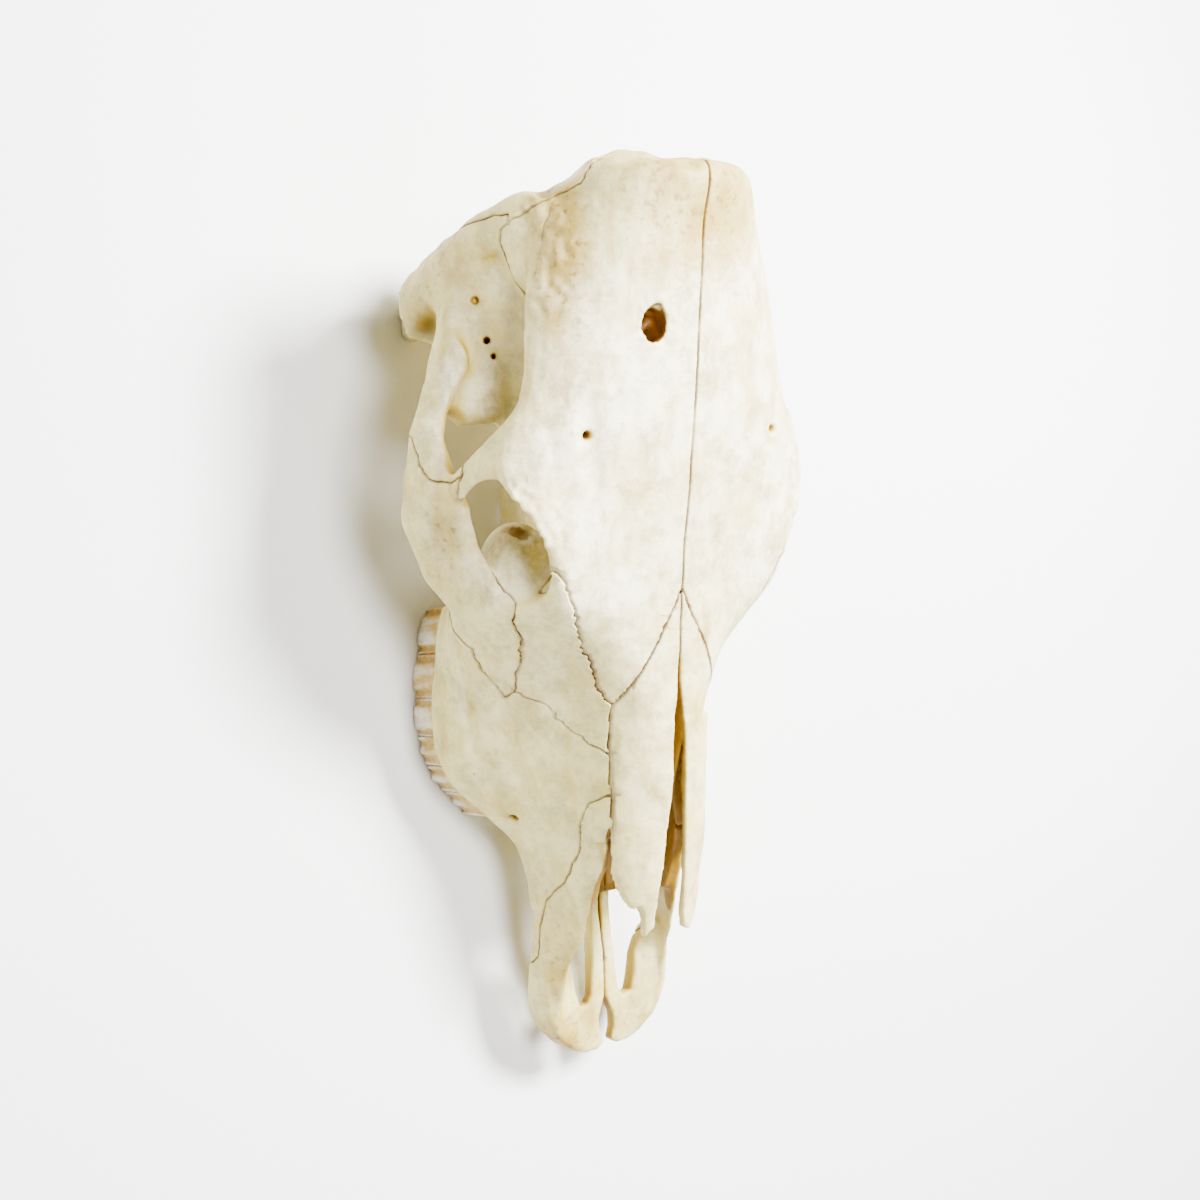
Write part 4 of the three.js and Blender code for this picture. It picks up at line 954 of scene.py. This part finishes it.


# Dry bone: painted light makes faces that look up near white, cream on the flanks, painted shade makes the
# hollows ochre
def bone_material():
    s = Shader("bone")
    cloud = s.noise(scale=13, detail=7, roughness=0.62)
    grain = s.noise(scale=85, detail=6, roughness=0.62, stretch=(1, 0.35, 1))
    opened = s.math("ADD", s.value("open"), s.ramp(cloud, *NOISE_SPAN, -0.1, 0.1))

    # Painted light that makes faces looking up near white, with straw-coloured blotches and grey dust
    light_on_top = s.math("ADD", s.value("painted_top_light"), s.ramp(cloud, *NOISE_SPAN, -0.35, 0.3))
    colour = s.mix(s.ramp(light_on_top, 0.15, 0.95), CREAM, PAINTED_LIGHT_IVORY)
    blotch = s.noise(scale=24, detail=9, roughness=0.7)
    colour = s.mix(s.ramp(blotch, 0.46, 0.68, 0.0, 0.7), colour, STRAW_TONE_AND_SHADE)
    dust = s.noise(scale=62, detail=10, roughness=0.8)
    colour = s.mix(s.ramp(dust, 0.46, 0.6, 0.0, 0.65), colour, DUST)

    # Painted shade: straw and ochre where the surface is closed in, olive in the listed deep places, amber
    # inside the nose and in the tear hole
    colour = s.mix(s.ramp(opened, 0.74, 0.42), colour, STRAW_TONE_AND_SHADE)
    colour = s.mix(s.ramp(opened, 0.46, 0.1, 0.0, 0.9), colour, SHADE_OCHRE)
    hollow_shade = s.math("MULTIPLY", s.value("hollow_shade"), s.ramp(opened, 1.0, 0.6, 0.3, 1.0))
    colour = s.mix(hollow_shade, colour, SHADE_OLIVE)
    nose_shade = s.math("MULTIPLY", s.value("nose_shade"), s.ramp(cloud, 0.25, 0.6, 0.85, 1.0))
    colour = s.mix(nose_shade, colour, SHADE_AMBER)

    # Stains with dark specks, and the grain of the bone
    stain = s.value("stain")
    ragged = s.ramp(s.noise(scale=34, detail=9, roughness=0.72), 0.32, 0.56, 0.3, 1.0)
    colour = s.mix(s.math("MULTIPLY", stain, ragged), colour, TAN)
    speck = s.ramp(s.noise(scale=240, detail=3, roughness=0.5), 0.56, 0.68)
    speck = s.math("MULTIPLY", speck, s.math("ADD", stain, 0.06))
    colour = s.mix(s.math("MULTIPLY", speck, 0.7), colour, FLECK)
    colour = s.mix(s.ramp(grain, 0.5, 0.72, 0.0, 0.5), colour, TAN)

    # Pores, sutures, and the painted shade inside the forehead's hole
    pores = s.math("MULTIPLY", s.ramp(s.cells(95), 0.1, 0.05), s.ramp(s.cells(95, "Color"), 0.8, 0.9))
    colour = s.mix(s.math("MULTIPLY", pores, 0.55), colour, FLECK)
    line = s.ramp(s.value("seam"), 0.95, 0.3)
    broken = s.ramp(s.noise(scale=42, detail=4), 0.34, 0.56, 0.3, 1.0)
    line = s.math("MULTIPLY", line, broken)
    colour = s.mix(s.math("MULTIPLY", line, 0.8), colour, UMBER)
    # Painted shade, dark brown, inside the forehead's hole
    hole_shade = s.math("ADD", s.value("hole_shade"), s.ramp(grain, *NOISE_SPAN, -0.3, 0.3))
    colour = s.mix(s.ramp(hole_shade, 0.25, 0.8), colour, HOLE_SHADE_BROWN)

    s.give("Base Color", colour)
    s.give("Roughness", s.ramp(grain, *NOISE_SPAN, 0.46, 0.68))
    s.give("Specular IOR Level", 0.4)
    s.give("Subsurface Weight", 0.08)
    s.give("Subsurface Radius", (0.003, 0.002, 0.001))
    fine = s.noise(scale=420, detail=4, roughness=0.6)
    height = s.math("ADD", s.math("MULTIPLY", grain, 0.6), s.math("MULTIPLY", fine, 0.25))
    height = s.math("SUBTRACT", height, s.math("MULTIPLY", pores, 0.5))
    height = s.math("SUBTRACT", height, s.math("MULTIPLY", line, 0.5))
    bump = s.add("ShaderNodeBump", {"Height": height, "Strength": 0.5, "Distance": 0.0011})
    s.give("Normal", bump.outputs["Normal"])
    return s.material


# Worn enamel with straw-coloured cement in its grooves
def tooth_material():
    s = Shader("tooth")
    streak = s.noise(scale=120, detail=6, roughness=0.65, stretch=(1, 1, 0.3))
    worn = s.math("ADD", s.value("groove"), s.ramp(streak, *NOISE_SPAN, -0.3, 0.3))
    colour = s.mix(s.ramp(worn, -0.1, 0.25), ENAMEL, CEMENT)
    colour = s.mix(s.ramp(worn, 0.35, 0.9), colour, GROOVE)
    s.give("Base Color", colour)
    s.give("Roughness", s.ramp(streak, *NOISE_SPAN, 0.22, 0.5))
    bump = s.add("ShaderNodeBump", {"Height": streak, "Strength": 0.3, "Distance": 0.0008})
    s.give("Normal", bump.outputs["Normal"])
    return s.material


# Outer face of the tooth row at places along it
def tooth_row(y):
    stops = [[start + length / 2, outer] for start, length, width, outer, ridges in TEETH]
    front, back = TOOTH_ROW_ENDS
    return np.interp(y, *np.transpose([front] + stops + [back]))


# Ring of a tooth: shares along and across it, and how far its ridged faces lie back there
def tooth_ring(ridges):
    angle = np.linspace(0, 2 * np.pi, TOOTH_STEPS, endpoint=False)
    along, across = [np.sign(v) * np.abs(v) ** CORNER_POWER for v in (np.sin(angle), np.cos(angle))]
    wave = np.cos((ridges - 1) * np.pi * (along + 1))
    outer_face = RIDGE_DEPTH * (np.abs(wave) ** RIDGE_POWER * np.sign(wave) - 1)
    inner_face = INNER_RIDGE * RIDGE_DEPTH * (np.abs(wave) - 1)
    return along, across, np.where(across > 0, outer_face, inner_face)


# Faces between the rings of a tooth, closed by the last two points, in its crown and its root
def ring_faces(rings):
    i = np.arange(TOOTH_STEPS)
    j = (i + 1) % TOOTH_STEPS
    faces = []
    for r in range(rings - 1):
        a, b = r * TOOTH_STEPS, (r + 1) * TOOTH_STEPS
        faces += [np.stack([a + i, b + i, b + j], 1), np.stack([a + i, b + j, a + j], 1)]
    last, tip = (rings - 1) * TOOTH_STEPS, rings * TOOTH_STEPS
    faces.append(np.stack([last + i, np.full(TOOTH_STEPS, tip), last + j], 1))
    faces.append(np.stack([j, np.full(TOOTH_STEPS, tip + 1), i], 1))
    return np.vstack(faces)


# Cheek tooth: ridged outer face, worn grinding face with crescents of enamel
def make_tooth(number, hand, material):
    start, length, width, outer, ridges = TEETH[number]
    along, across, ridge = tooth_ring(ridges)
    middle = np.array([outer - width / 2, start + length / 2])
    rows, groove = [], []
    for z in np.linspace(TOOTH_ROOT, CROWN_RIM, TOOTH_RINGS):
        scale = np.interp(z, *TOOTH_TAPER)
        ripple = RIPPLE_DEPTH * np.sin(RIPPLE_UP * z + RIPPLE_ALONG * along + number)
        x = scale * (across * width / 2 + ridge) + ripple * across
        y = along * (length / 2 + TOOTH_OVERLAP) * (TAPER_KEPT + TAPER_TAKEN * scale)
        rows.append(np.stack([middle[0] + x, middle[1] + y, np.full(TOOTH_STEPS, z)], 1))
        groove.append(np.clip(GROOVE_SHARE * ridge + np.interp(z, *GROOVE_UP), 0, 1))
    lobes = (ridges - 1) // 2
    for ring in range(1, CROWN_RINGS):
        t = 1 - ring / CROWN_RINGS
        x, y = t * (across * width / 2 + ridge), t * along * length / 2
        bow = 2 * x / width - CRESCENT_BOW * np.cos(2 * np.pi * lobes * y / length)
        crescent = np.exp(-((np.abs(bow) - CRESCENT_AT) / CRESCENT_WIDE) ** 2)
        crest = np.clip(crescent + np.exp(-((t - RIM_AT) / RIM_WIDE) ** 2), 0, 1)
        rows.append(np.stack([middle[0] + x, middle[1] + y, CROWN_DIP * (1 - crest)], 1))
        groove.append(1 - crest)
    rows += [np.array([[*middle, CROWN_DIP]]), np.array([[*middle, TOOTH_ROOT]])]
    groove += [np.ones(1), np.ones(1)]
    points, groove = np.vstack(rows), np.concatenate(groove)
    points[:, 0] += tooth_row(points[:, 1]) - outer
    faces = ring_faces(TOOTH_RINGS + CROWN_RINGS - 1)
    word = "left" if hand > 0 else "right"
    if hand < 0:
        points[:, 0] *= -1
        faces = faces[:, ::-1]
    make_piece(f"tooth_{number + 1}_{word}", points, faces, {"groove": groove}, material, f"maxilla_{word}")


# Bones and cheek teeth as pieces of the scene
def build_skull():
    clay = skull_clay()
    pieces, seam = part_bones(clay)
    bone = bone_material()
    for name, (points, quads) in pieces.items():
        make_piece(f"{name}_bone", points, quads, surface_values(points, clay, seam), bone, name)
    enamel = tooth_material()
    for hand in PAIR:
        for number in range(len(TEETH)):
            make_tooth(number, hand, enamel)


# Camera of the photograph, in the skull's own measure; its focal length is a share of the picture's width
CAMERA_PLACE = Vector((-447, 262, 724))
CAMERA_RIGHT = Vector((0.81486, -0.11637, 0.56786))
CAMERA_UP = Vector((0.10008, 0.99317, 0.05993))
CAMERA_BACK = Vector((-0.57096, 0.00800, 0.82094))
FOCAL_SHARE = 1420 / 1200
SENSOR = 36.0


def add_camera():
    data = bpy.data.cameras.new("camera")
    data.sensor_width = SENSOR
    data.lens = SENSOR * FOCAL_SHARE
    camera = bpy.data.objects.new("camera", data)
    turn = Matrix((CAMERA_RIGHT, CAMERA_UP, CAMERA_BACK)).transposed().to_4x4()
    camera.matrix_world = Matrix.Translation((CAMERA_PLACE - Vector(FRAME_ORIGIN)) * MM) @ turn
    bpy.context.collection.objects.link(camera)
    bpy.context.scene.camera = camera


# Round soft lights: name, place, size in metres, power in watts
LIGHTS = [
    ("key", (0.6, 0.45, 1.25), 0.45, 150),
    ("fill", (-0.25, 0.2, 1.7), 0.6, 52),
    ("low", (-0.1, -0.9, 1.6), 0.8, 10),
]
LIGHT_TARGET = Vector((0, 0, 0.1))
WORLD_COLOUR, WORLD_STRENGTH = (1.0, 0.99, 0.97, 1), 0.11
FLOOR_HALF, FLOOR_DROP = 6.0, 0.0005
FLOOR_COLOUR, FLOOR_ROUGHNESS = (0.9, 0.9, 0.89, 1), 0.9


def add_lights():
    for name, place, size, power in LIGHTS:
        data = bpy.data.lights.new(name, "AREA")
        data.shape = "DISK"
        data.size = size
        data.energy = power
        light = bpy.data.objects.new(name, data)
        light.location = place
        light.rotation_euler = (LIGHT_TARGET - light.location).to_track_quat("-Z", "Y").to_euler()
        bpy.context.collection.objects.link(light)
    world = bpy.data.worlds.new("studio")
    world.use_nodes = True
    background = world.node_tree.nodes["Background"]
    background.inputs["Color"].default_value = WORLD_COLOUR
    background.inputs["Strength"].default_value = WORLD_STRENGTH
    bpy.context.scene.world = world


def add_floor():
    mesh = bpy.data.meshes.new("floor")
    h = FLOOR_HALF
    mesh.from_pydata([(-h, -h, 0), (h, -h, 0), (h, h, 0), (-h, h, 0)], [], [(0, 1, 2, 3)])
    s = Shader("floor")
    s.give("Base Color", FLOOR_COLOUR)
    s.give("Roughness", FLOOR_ROUGHNESS)
    mesh.materials.append(s.material)
    floor = bpy.data.objects.new("floor", mesh)
    floor.location.z = -FLOOR_DROP
    bpy.context.collection.objects.link(floor)


build_skull()
add_camera()
add_lights()
add_floor()
